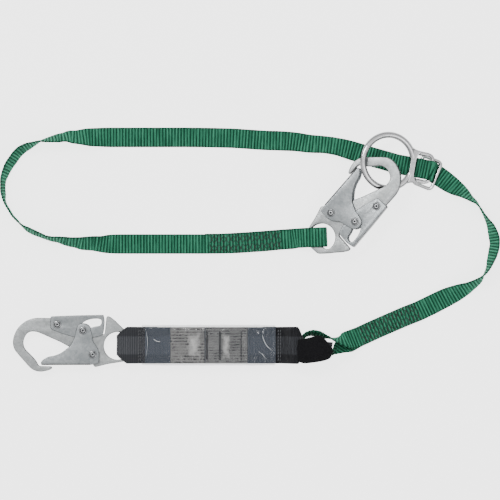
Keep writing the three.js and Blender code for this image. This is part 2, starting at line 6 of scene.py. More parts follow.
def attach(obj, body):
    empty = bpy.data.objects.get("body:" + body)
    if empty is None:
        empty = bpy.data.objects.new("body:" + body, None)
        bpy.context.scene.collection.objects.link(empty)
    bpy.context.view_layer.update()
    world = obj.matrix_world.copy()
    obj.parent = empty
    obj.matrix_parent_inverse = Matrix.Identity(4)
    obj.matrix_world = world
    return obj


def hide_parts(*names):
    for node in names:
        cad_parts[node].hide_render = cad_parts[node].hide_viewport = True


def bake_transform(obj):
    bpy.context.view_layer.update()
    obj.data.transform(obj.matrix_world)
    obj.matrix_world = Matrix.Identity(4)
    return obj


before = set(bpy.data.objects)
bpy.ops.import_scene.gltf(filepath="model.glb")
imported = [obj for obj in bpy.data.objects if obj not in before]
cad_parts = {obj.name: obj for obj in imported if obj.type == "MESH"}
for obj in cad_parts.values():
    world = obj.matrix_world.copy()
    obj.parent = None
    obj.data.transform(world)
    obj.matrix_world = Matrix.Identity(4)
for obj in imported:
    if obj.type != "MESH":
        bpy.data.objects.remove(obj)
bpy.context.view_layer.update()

MM = 0.001
OX, OY = 26.8, 2.33
ROOT = bpy.context.scene.collection
random.seed(7)

# ------------------------------------------------------------------ camera and light
cam_data = bpy.data.cameras.new("camera")
cam_data.sensor_width = 36
cam_data.lens = 36 * 4.185 / 0.600
cam_data.clip_end = 20
cam = bpy.data.objects.new("camera", cam_data)
cam.location = (OX * MM, OY * MM, 4.2)
ROOT.objects.link(cam)
bpy.context.scene.camera = cam


def area(name, loc, size, energy, target=(OX * MM, 0, 0)):
    d = bpy.data.lights.new(name, "AREA")
    d.shape = "SQUARE"; d.size = size; d.energy = energy
    o = bpy.data.objects.new(name, d)
    o.location = loc
    o.rotation_euler = (Vector(target) - Vector(loc)).to_track_quat("-Z", "Y").to_euler()
    ROOT.objects.link(o)
    return o


area("key", (-0.75, 0.9, 1.9), 0.7, 24)
area("fill", (1.1, -0.7, 1.7), 1.3, 9)
world = bpy.data.worlds.new("studio")
bpy.context.scene.world = world
world.use_nodes = True
wn = world.node_tree
bg = wn.nodes["Background"]
tc = wn.nodes.new("ShaderNodeTexCoord")
sx = wn.nodes.new("ShaderNodeSeparateXYZ")
wr = wn.nodes.new("ShaderNodeValToRGB")
wn.links.new(tc.outputs["Generated"], sx.inputs[0])
wn.links.new(sx.outputs[2], wr.inputs[0])
wr.color_ramp.elements[0].position = 0.02
wr.color_ramp.elements[0].color = (0.22, 0.22, 0.23, 1)
wr.color_ramp.elements[1].position = 0.80
wr.color_ramp.elements[1].color = (1, 1, 1, 1)
wn.links.new(wr.outputs[0], bg.inputs[0])
bg.inputs[1].default_value = 1.05


# ------------------------------------------------------------------ materials
class Mat:
    def __init__(self, name, base, rough, metal=0.0, **kw):
        self.m = bpy.data.materials.new(name)
        self.m.use_nodes = True
        self.nt = self.m.node_tree
        self.b = self.nt.nodes["Principled BSDF"]
        self.b.inputs["Base Color"].default_value = (*base, 1)
        self.b.inputs["Roughness"].default_value = rough
        self.b.inputs["Metallic"].default_value = metal
        for k, v in kw.items():
            self.b.inputs[k.replace("_", " ")].default_value = v

    def n(self, kind, **vals):
        x = self.nt.nodes.new(kind)
        for k, v in vals.items():
            setattr(x, k, v)
        return x

    def link(self, a, b):
        self.nt.links.new(a, b)

    def coord(self, scale=(1, 1, 1), uv=False):
        t = self.n("ShaderNodeUVMap") if uv else self.n("ShaderNodeTexCoord")
        mp = self.n("ShaderNodeMapping")
        mp.inputs["Scale"].default_value = scale
        self.link(t.outputs["UV" if uv else "Object"], mp.inputs[0])
        return mp.outputs[0]

    def noise(self, scale, detail=3, rough=0.5, vec=None, dist=0.0):
        x = self.n("ShaderNodeTexNoise")
        x.inputs["Scale"].default_value = scale
        x.inputs["Detail"].default_value = detail
        x.inputs["Roughness"].default_value = rough
        x.inputs["Distortion"].default_value = dist
        self.link(vec if vec else self.coord(), x.inputs["Vector"])
        return x.outputs[0]

    def ramp(self, src, stops):
        r = self.n("ShaderNodeValToRGB")
        e = r.color_ramp.elements
        while len(e) < len(stops):
            e.new(0.5)
        for k, (p, c) in enumerate(stops):
            e[k].position = p
            e[k].color = (*c, 1) if len(c) == 3 else c
        self.link(src, r.inputs[0])
        return r.outputs[0]

    def math(self, op, a, b=None, c=None):
        x = self.n("ShaderNodeMath", operation=op)
        for i, v in enumerate((a, b, c)):
            if v is None:
                continue
            if isinstance(v, (int, float)):
                x.inputs[i].default_value = v
            else:
                self.link(v, x.inputs[i])
        return x.outputs[0]

    def mix(self, f, a, b, mode="MIX"):
        x = self.n("ShaderNodeMix", data_type="RGBA", blend_type=mode)
        for sock, v in ((x.inputs[0], f), (x.inputs[6], a), (x.inputs[7], b)):
            if isinstance(v, (int, float)):
                sock.default_value = v
            elif isinstance(v, tuple):
                sock.default_value = (*v, 1)
            else:
                self.link(v, sock)
        return x.outputs[2]

    def bump(self, height, strength=0.3, distance=0.0005):
        x = self.n("ShaderNodeBump")
        x.inputs["Strength"].default_value = strength
        x.inputs["Distance"].default_value = distance
        self.link(height, x.inputs["Height"])
        prev = self.b.inputs["Normal"]
        if prev.is_linked:
            self.link(prev.links[0].from_socket, x.inputs["Normal"])
        self.link(x.outputs[0], prev)
        return x

    def color(self, src):
        self.link(src, self.b.inputs["Base Color"])

    def rough(self, src, lo, hi):
        x = self.n("ShaderNodeMapRange")
        x.inputs["To Min"].default_value = lo
        x.inputs["To Max"].default_value = hi
        self.link(src, x.inputs["Value"])
        self.link(x.outputs[0], self.b.inputs["Roughness"])


def steel(name, lo, hi, r0, r1, grain=2200, metal=0.9, side_shade_amount=0.95, span=(0.45, 0.93)):
    m = Mat(name, hi, (r0 + r1) / 2, metal)
    vo = m.n("ShaderNodeTexVoronoi"); vo.inputs["Scale"].default_value = 330; vo.inputs["Randomness"].default_value = 1
    m.link(m.coord((1, 1, 1)), vo.inputs["Vector"])
    sp_ = m.n("ShaderNodeSeparateXYZ"); m.link(vo.outputs["Color"], sp_.inputs[0])
    big = m.math("MULTIPLY_ADD", sp_.outputs[0], 0.22, m.math("MULTIPLY", m.noise(40, 5, 0.6), 0.85))
    fine = m.noise(grain, 3, 0.65)
    spot = m.noise(420, 4, 0.7)
    c = m.ramp(big, [(0.3, lo), (0.7, hi)])
    c = m.mix(m.math("MULTIPLY", m.ramp(spot, [(0.42, (0, 0, 0)), (0.62, (1, 1, 1))]), 0.35), c, tuple(v * 0.80 for v in lo))
    # painted shade: faces that turn away from straight up, the flanks of bars and the rolled edges of plates, are
    # darkened in the base colour by the up component of the normal
    tn = m.n("ShaderNodeTexCoord"); nz = m.n("ShaderNodeSeparateXYZ")
    m.link(tn.outputs["Normal"], nz.inputs[0])
    side_shade_mask = m.math("ABSOLUTE", nz.outputs[2])
    k = side_shade_amount
    lo_n, hi_n = span
    c = m.mix(m.ramp(side_shade_mask, [(lo_n, (k, k, k)), ((lo_n + hi_n) / 2, (k * 0.6, k * 0.6, k * 0.6)), (hi_n, (0, 0, 0))]), c, (0.014, 0.015, 0.017))
    m.color(c)
    m.rough(spot, r0, r1)
    m.bump(fine, 0.22, 0.00012)
    m.bump(spot, 0.12, 0.00025)
    return m.m


ZINC = steel("zinc_steel", (0.30, 0.315, 0.32), (0.47, 0.49, 0.49), 0.32, 0.50)
ZINC_B = steel("zinc_steel_plates", (0.23, 0.25, 0.26), (0.38, 0.40, 0.41), 0.30, 0.46)
# darker copy of the zinc for the bevelled edge faces of body and plates: painted shade that draws dark outlines
ZINC_EDGE_SHADE = steel("zinc_steel_edges_painted_shade", (0.05, 0.053, 0.056), (0.15, 0.155, 0.16), 0.40, 0.55)
# near-black steel painted as shade in the rivet grooves, dimples and rims and along the gate's bend line
GAP_AND_RECESS_SHADE = steel("rivet_recess_painted_shade", (0.018, 0.019, 0.02), (0.05, 0.052, 0.055), 0.4, 0.55)
RIVET = steel("rivet_steel", (0.26, 0.27, 0.28), (0.46, 0.47, 0.48), 0.22, 0.36)
# strong painted shade on the flanks: dark outlines on the ring and keeper tubes round a bright top
POLISH = steel("polished_steel", (0.62, 0.62, 0.63), (0.84, 0.84, 0.85), 0.12, 0.26, 900, 1.0, 0.97, (0.38, 0.96))
SPRING = steel("spring_steel", (0.34, 0.35, 0.37), (0.46, 0.47, 0.49), 0.25, 0.35, 1500, 1.0, 0.4)


def webbing(name, dark, mid, light, pitch, sheen=0.25, rough=0.78, streak=1.0):
    """ribbed webbing; UV is millimetres along and across the strap"""
    m = Mat(name, mid, rough)
    m.b.inputs["Sheen Weight"].default_value = sheen
    m.b.inputs["Sheen Roughness"].default_value = 0.5
    m.b.inputs["Specular IOR Level"].default_value = 0.03
    uv = m.n("ShaderNodeUVMap")
    s = m.n("ShaderNodeSeparateXYZ")
    m.link(uv.outputs[0], s.inputs[0])
    wob = m.noise(0.35, 3, 0.6, m.coord((1, 1, 1), True))
    along = m.math("ADD", s.outputs[0], m.math("MULTIPLY", m.math("SUBTRACT", wob, 0.5), 0.9))
    rib = m.math("SINE", m.math("MULTIPLY", along, 2 * math.pi / pitch))
    yarn = m.math("SINE", m.math("ADD", m.math("MULTIPLY", s.outputs[1], 2 * math.pi / 0.95), m.math("MULTIPLY", rib, 0.9)))
    rib2 = m.math("SINE", m.math("MULTIPLY", along, 4 * math.pi / pitch))
    weave = m.math("MULTIPLY_ADD", m.math("MULTIPLY_ADD", rib, 0.40, m.math("MULTIPLY_ADD", yarn, 0.10, m.math("MULTIPLY", rib2, 0.06))), 1.0, 0.5)
    # rib colour partly painted light: crests painted lighter and grooves darker as rib shading, over the yarn pattern
    c = m.ramp(weave, [(0.08, dark), (0.5, mid), (0.95, light)])
    fl = m.noise(1.0, 4, 0.6, m.coord((0.30, 0.02, 1), True))
    c = m.mix(m.ramp(fl, [(0.42, (0, 0, 0)), (0.66, (0.70 * streak, 0.70 * streak, 0.70 * streak))]), c, tuple(0.40 * v for v in mid))
    fl2 = m.noise(1.0, 3, 0.6, m.coord((0.22, 0.03, 1), True))
    c = m.mix(m.ramp(fl2, [(0.50, (0, 0, 0)), (0.72, (0.45 * streak, 0.45 * streak, 0.45 * streak))]), c, light)
    # painted shade: the band darkens towards both selvedges, where the rounded edges turn away from the light
    selvedge_shade_dist = m.math("ABSOLUTE", m.math("SUBTRACT", m.math("PINGPONG", s.outputs[1], 30.0), 0.0))
    c = m.mix(m.ramp(m.math("MULTIPLY", selvedge_shade_dist, 1 / 12.0), [(0.82, (0, 0, 0)), (0.97, (0.7, 0.7, 0.7))]), c, dark)
    fz = m.noise(5.0, 2, 0.7, m.coord((1, 2.5, 1), True))
    c = m.mix(m.ramp(fz, [(0.52, (0, 0, 0)), (0.75, (0.30, 0.30, 0.30))]), c, light)
    m.color(c)
    m.bump(weave, 0.55, 0.00035)
    m.bump(fz, 0.3, 0.0001)
    return m.m


GREEN = webbing("green_webbing", (0.002, 0.018, 0.010), (0.015, 0.112, 0.062), (0.058, 0.285, 0.168), 3.7, 0.0)
BLACK = webbing("black_webbing", (0.004, 0.004, 0.005), (0.020, 0.021, 0.024), (0.070, 0.073, 0.082), 2.1, 0.15, streak=0.7)
BLACK_F = webbing("black_webbing_worn", (0.020, 0.021, 0.024), (0.060, 0.063, 0.070), (0.085, 0.088, 0.096), 2.1, 0.15, streak=0.2)
SLATE = webbing("tear_webbing", (0.055, 0.066, 0.085), (0.090, 0.106, 0.135), (0.13, 0.15, 0.185), 1.9, 0.1, 0.6, streak=0.2)
THREAD_DK = Mat("stitch_thread_dark", (0.006, 0.022, 0.015), 0.7)
THREAD_DK.b.inputs["Sheen Weight"].default_value = 0.2
THREAD_DK.color(THREAD_DK.ramp(THREAD_DK.noise(2600, 2), [(0.35, (0.006, 0.009, 0.008)), (0.7, (0.022, 0.030, 0.024))]))
THREAD_DK.bump(THREAD_DK.noise(3500, 2), 0.5, 0.0001)
THREAD_DK = THREAD_DK.m
THREAD_LT = Mat("stitch_thread_pale", (0.35, 0.36, 0.36), 0.7)
THREAD_LT.color(THREAD_LT.ramp(THREAD_LT.noise(2600, 2), [(0.35, (0.08, 0.085, 0.09)), (0.7, (0.17, 0.175, 0.185))]))
THREAD_LT.bump(THREAD_LT.noise(3500, 2), 0.5, 0.0001)
THREAD_LT = THREAD_LT.m
PAD = Mat("pad_fabric", (0.006, 0.006, 0.007), 0.92)
PAD.b.inputs["Specular IOR Level"].default_value = 0.15
PAD.color(PAD.ramp(PAD.noise(900, 4, 0.7), [(0.35, (0.002, 0.002, 0.0025)), (0.75, (0.013, 0.013, 0.015))]))
PAD.bump(PAD.noise(1800, 3, 0.6), 0.5, 0.0002)
PAD.bump(PAD.noise(140, 3, 0.6), 0.35, 0.0008)
PAD = PAD.m


def label_mat(name, paper, ink, step, seedv, glare=None):
    """grey label stock with rows of plain dashes; no lettering"""
    m = Mat(name, paper, 0.5)
    t = m.n("ShaderNodeTexCoord"); s = m.n("ShaderNodeSeparateXYZ")
    m.link(t.outputs["Object"], s.inputs[0])
    line = m.math("SINE", m.math("MULTIPLY", s.outputs[1], 2 * math.pi / step))
    line = m.ramp(m.math("MULTIPLY_ADD", line, 0.5, 0.5), [(0.35, (0, 0, 0)), (0.70, (1, 1, 1))])
    dash = m.noise(1.0, 2, 0.6, m.coord((620, 330, 60)))
    dash = m.ramp(dash, [(0.45, (0, 0, 0)), (0.51, (1, 1, 1))])
    block = m.noise(1.0, 1, 0.5, m.coord((95, 60 + seedv, 10)))
    block = m.ramp(block, [(0.40, (0, 0, 0)), (0.56, (1, 1, 1))])
    f = m.math("MULTIPLY", m.math("MULTIPLY", line, dash), m.math("MULTIPLY_ADD", block, 0.75, 0.20))
    c = m.mix(f, m.ramp(m.noise(75, 4), [(0.3, tuple(0.7 * v for v in paper)), (0.7, tuple(1.1 * v for v in paper))]), ink)
    if glare:
        xc, wd = glare
        g = m.math("SUBTRACT", 1.0, m.math("ABSOLUTE", m.math("MULTIPLY", m.math("SUBTRACT", s.outputs[0], xc * MM), 1 / (wd * MM))))
        gy = m.math("SUBTRACT", 1.15, m.math("ABSOLUTE", m.math("MULTIPLY", m.math("ADD", s.outputs[1], 0.112), 1 / 0.0165)))
        g = m.math("MINIMUM", g, gy)
        g = m.math("ADD", g, m.math("MULTIPLY", m.math("SUBTRACT", m.noise(130, 5, 0.7), 0.5), 1.6))
        g = m.ramp(g, [(0.22, (0, 0, 0)), (0.95, (0.85, 0.85, 0.85))])
        c = m.mix(g, c, (0.92, 0.91, 0.89))
    m.color(c)
    m.bump(m.noise(90, 3), 0.3, 0.0006)
    return m.m


LABEL = label_mat("label_grey", (0.30, 0.295, 0.285), (0.006, 0.006, 0.006), 0.0036, 3, ((194 - 250) * 1.2 + 26.8, 10.0))
LABEL_B = label_mat("label_booklet", (0.24, 0.24, 0.235), (0.006, 0.006, 0.006), 0.0033, 9, ((226 - 250) * 1.2 + 26.8, 6.0))
DARK_INK = Mat("label_band", (0.015, 0.015, 0.016), 0.5)
DARK_INK.color(DARK_INK.ramp(DARK_INK.noise(300, 3), [(0.3, (0.010, 0.010, 0.011)), (0.8, (0.035, 0.035, 0.037))]))
DARK_INK = DARK_INK.m

FILM = Mat("clear_sleeve", (0.05, 0.055, 0.065), 0.14)
FILM.b.inputs["Alpha"].default_value = 0.17
FILM.b.inputs["Specular IOR Level"].default_value = 0.6
FILM.b.inputs["Coat Weight"].default_value = 0.6
FILM.b.inputs["Coat Roughness"].default_value = 0.06
FILM.bump(FILM.noise(75, 4, 0.55, None, 1.2), 0.35, 0.0012)
FILM.bump(FILM.noise(420, 3, 0.6), 0.20, 0.0002)
FILM.rough(FILM.noise(60, 3), 0.08, 0.26)
FILM = FILM.m
FILM.use_backface_culling = False

FLOOR = Mat("floor", (0.55, 0.55, 0.55), 0.95)
FLOOR.b.inputs["Emission Color"].default_value = (1, 1, 1, 1)
FLOOR.b.inputs["Emission Strength"].default_value = 2.9
FLOOR.b.inputs["Specular IOR Level"].default_value = 0.1
FLOOR.color(FLOOR.ramp(FLOOR.noise(3, 2), [(0.3, (0.545, 0.545, 0.545)), (0.7, (0.555, 0.555, 0.555))]))
FLOOR = FLOOR.m


# ------------------------------------------------------------------ mesh helpers
def obj_from(name, verts, faces, mat, smooth=True, uv=None):
    me = bpy.data.meshes.new(name)
    me.from_pydata([tuple(v) for v in verts], [], [tuple(f) for f in faces])
    if uv is not None:
        lay = me.uv_layers.new(name="UVMap")
        li = np.zeros(len(me.loops), np.int32)
        me.loops.foreach_get("vertex_index", li)
        lay.data.foreach_set("uv", np.asarray(uv, np.float32)[li].ravel())
    me.materials.append(mat)
    if smooth:
        me.polygons.foreach_set("use_smooth", [True] * len(me.polygons))
    o = bpy.data.objects.new(name, me)
    ROOT.objects.link(o)
    return o


def round_corners(pts, cut=1.2, times=2):
    P = [Vector((p[0], p[1])) for p in pts]
    for _ in range(times):
        Q = []
        n = len(P)
        for i in range(n):
            a, b = P[i], P[(i + 1) % n]
            d = b - a
            L = d.length
            if L < 1e-6:
                continue
            k = min(0.25 * L, cut)
            Q.append(a + d * (k / L))
            Q.append(b - d * (k / L))
        P = Q
        cut *= 0.5
    return [(p.x, p.y) for p in P]


def signed(pts):
    return sum(pts[i - 1][0] * pts[i][1] - pts[i][0] * pts[i - 1][1] for i in range(len(pts))) / 2


def plate(name, outlines, z0, z1, bevel, mat, M, seg=2, edge=None):
    """flat plate with rounded edges and holes; millimetres in its own plane, then M"""
    cu = bpy.data.curves.new(name, "CURVE")
    cu.dimensions = "2D"
    cu.fill_mode = "BOTH"
    for k, pts in enumerate(outlines):
        if (signed(pts) > 0) != (k == 0):
            pts = pts[::-1]
        sp = cu.splines.new("POLY")
        sp.points.add(len(pts) - 1)
        for p, q in zip(sp.points, pts):
            p.co = (q[0], q[1], 0, 1)
        sp.use_cyclic_u = True
    cu.extrude = (z1 - z0) / 2 - bevel
    cu.bevel_depth = bevel
    cu.bevel_resolution = seg
    cu.offset = -bevel
    tmp = bpy.data.objects.new(name + "_c", cu)
    ROOT.objects.link(tmp)
    dg = bpy.context.evaluated_depsgraph_get()
    me = bpy.data.meshes.new_from_object(tmp.evaluated_get(dg))
    bpy.data.objects.remove(tmp)
    bpy.data.curves.remove(cu)
    bm = bmesh.new()
    bm.from_mesh(me)
    bmesh.ops.remove_doubles(bm, verts=bm.verts, dist=0.002)
    bmesh.ops.recalc_face_normals(bm, faces=bm.faces)
    bm.normal_update()
    for f in bm.faces:
        # faces that turn away from up take the edge material, painted shade along the bevels
        f.material_index = 1 if edge is not None and abs(f.normal.z) < 0.86 else 0
    bmesh.ops.translate(bm, verts=bm.verts, vec=(0, 0, (z0 + z1) / 2))
    bmesh.ops.transform(bm, matrix=M @ Matrix.Scale(MM, 4), verts=bm.verts)
    bmesh.ops.recalc_face_normals(bm, faces=bm.faces)
    bm.to_mesh(me)
    bm.free()
    idx = [p.material_index for p in me.polygons]
    me.materials.clear()
    me.materials.append(mat)
    if edge is not None:
        me.materials.append(edge)
        me.polygons.foreach_set("material_index", idx)
    o = bpy.data.objects.new(name, me)
    ROOT.objects.link(o)
    o.data.name = name
    sharp(o, 42)
    return o


def sharp(o, deg):
    me = o.data
    me.polygons.foreach_set("use_smooth", [True] * len(me.polygons))
    try:
        me.set_sharp_from_angle(angle=math.radians(deg))
    except Exception:
        pass


def join(name, objs):
    bm = bmesh.new()
    mats = []
    for o in objs:
        for mt in o.data.materials:
            if mt not in mats:
                mats.append(mt)
    for o in objs:
        n0 = len(bm.faces)
        bm.from_mesh(o.data)
        bm.faces.ensure_lookup_table()
        idx = [mats.index(mt) for mt in o.data.materials] or [0]
        for f in bm.faces[n0:]:
            f.material_index = idx[min(f.material_index, len(idx) - 1)]
    me = bpy.data.meshes.new(name)
    bm.to_mesh(me)
    bm.free()
    for mt in mats:
        me.materials.append(mt)
    for o in objs:
        bpy.data.objects.remove(o)
    r = bpy.data.objects.new(name, me)
    ROOT.objects.link(r)
    return r


def lathe(name, prof, centre, mat, M, n=40):
    verts, faces = [], []
    rows = []
    for r, z in prof:
        if r < 1e-6:
            rows.append([len(verts)])
            verts.append((centre[0], centre[1], z))
        else:
            rows.append(list(range(len(verts), len(verts) + n)))
            for i in range(n):
                a = 2 * math.pi * i / n
                verts.append((centre[0] + r * math.cos(a), centre[1] + r * math.sin(a), z))
    for A, B in zip(rows, rows[1:]):
        for i in range(n):
            j = (i + 1) % n
            q = [A[i % len(A)], A[j % len(A)], B[j % len(B)], B[i % len(B)]]
            f = []
            for v in q:
                if v not in f:
                    f.append(v)
            if len(f) > 2:
                faces.append(f)
    fr = [(sum(math.hypot(verts[i][0] - centre[0], verts[i][1] - centre[1]) for i in f) / len(f), abs(verts[f[0]][2])) for f in faces]
    verts = [M @ (Vector(v) * MM) for v in verts]
    o = obj_from(name, verts, faces, mat)
    o.data.materials.append(GAP_AND_RECESS_SHADE)
    top = max(p[1] for p in prof)
    # painted shade: the dimple, the groove and the outer rim of the head take the near-black material
    o.data.polygons.foreach_set("material_index", [1 if z > top - 1.6 and (r < 1.15 or 2.75 < r < 3.55 or r > 4.5) else 0 for r, z in fr])
    fix_normals(o)
    sharp(o, 50)
    return o


def fix_normals(o):
    bm = bmesh.new()
    bm.from_mesh(o.data)
    bmesh.ops.recalc_face_normals(bm, faces=bm.faces)
    bm.to_mesh(o.data)
    bm.free()


def catmull(P, n, closed=False):
    P = [np.array(p, float) for p in P]
    N = len(P)
    out = []
    R = range(N) if closed else range(N - 1)
    for i in R:
        p0 = P[(i - 1) % N] if closed or i > 0 else 2 * P[0] - P[1]
        p1, p2 = P[i], P[(i + 1) % N]
        p3 = P[(i + 2) % N] if closed or i + 2 < N else 2 * P[-1] - P[-2]
        for k in range(n):
            t = k / n
            out.append(0.5 * ((2 * p1) + (p2 - p0) * t + (2 * p0 - 5 * p1 + 4 * p2 - p3) * t * t + (3 * p1 - p0 - 3 * p2 + p3) * t ** 3))
    if not closed:
        out.append(P[-1])
    return out


def tube(name, pts, r, mat, sides=12, closed=False, M=None, rr=None):
    P = [Vector(p) for p in pts]
    n = len(P)
    verts, faces = [], []
    nrm = None
    for i in range(n):
        a = P[(i - 1) % n] if closed else P[max(0, i - 1)]
        b = P[(i + 1) % n] if closed else P[min(n - 1, i + 1)]
        t = (b - a).normalized()
        if nrm is None:
            nrm = Vector((0, 0, 1)) if abs(t.z) < 0.9 else Vector((1, 0, 0))
        nrm = (nrm - t * nrm.dot(t)).normalized()
        bi = t.cross(nrm)
        for k in range(sides):
            q = 2 * math.pi * k / sides
            rad = rr(i, q) if rr else r
            verts.append(P[i] + nrm * rad * math.cos(q) + bi * rad * math.sin(q))
    m = n if closed else n - 1
    for i in range(m):
        j = (i + 1) % n
        for k in range(sides):
            l = (k + 1) % sides
            faces.append((i * sides + k, i * sides + l, j * sides + l, j * sides + k))
    if not closed:
        faces.append(tuple(range(sides))[::-1])
        faces.append(tuple((n - 1) * sides + k for k in range(sides)))
    if M is not None:
        verts = [M @ (Vector(v) * MM) for v in verts]
    else:
        verts = [Vector(v) * MM for v in verts]
    o = obj_from(name, verts, faces, mat)
    fix_normals(o)
    return o


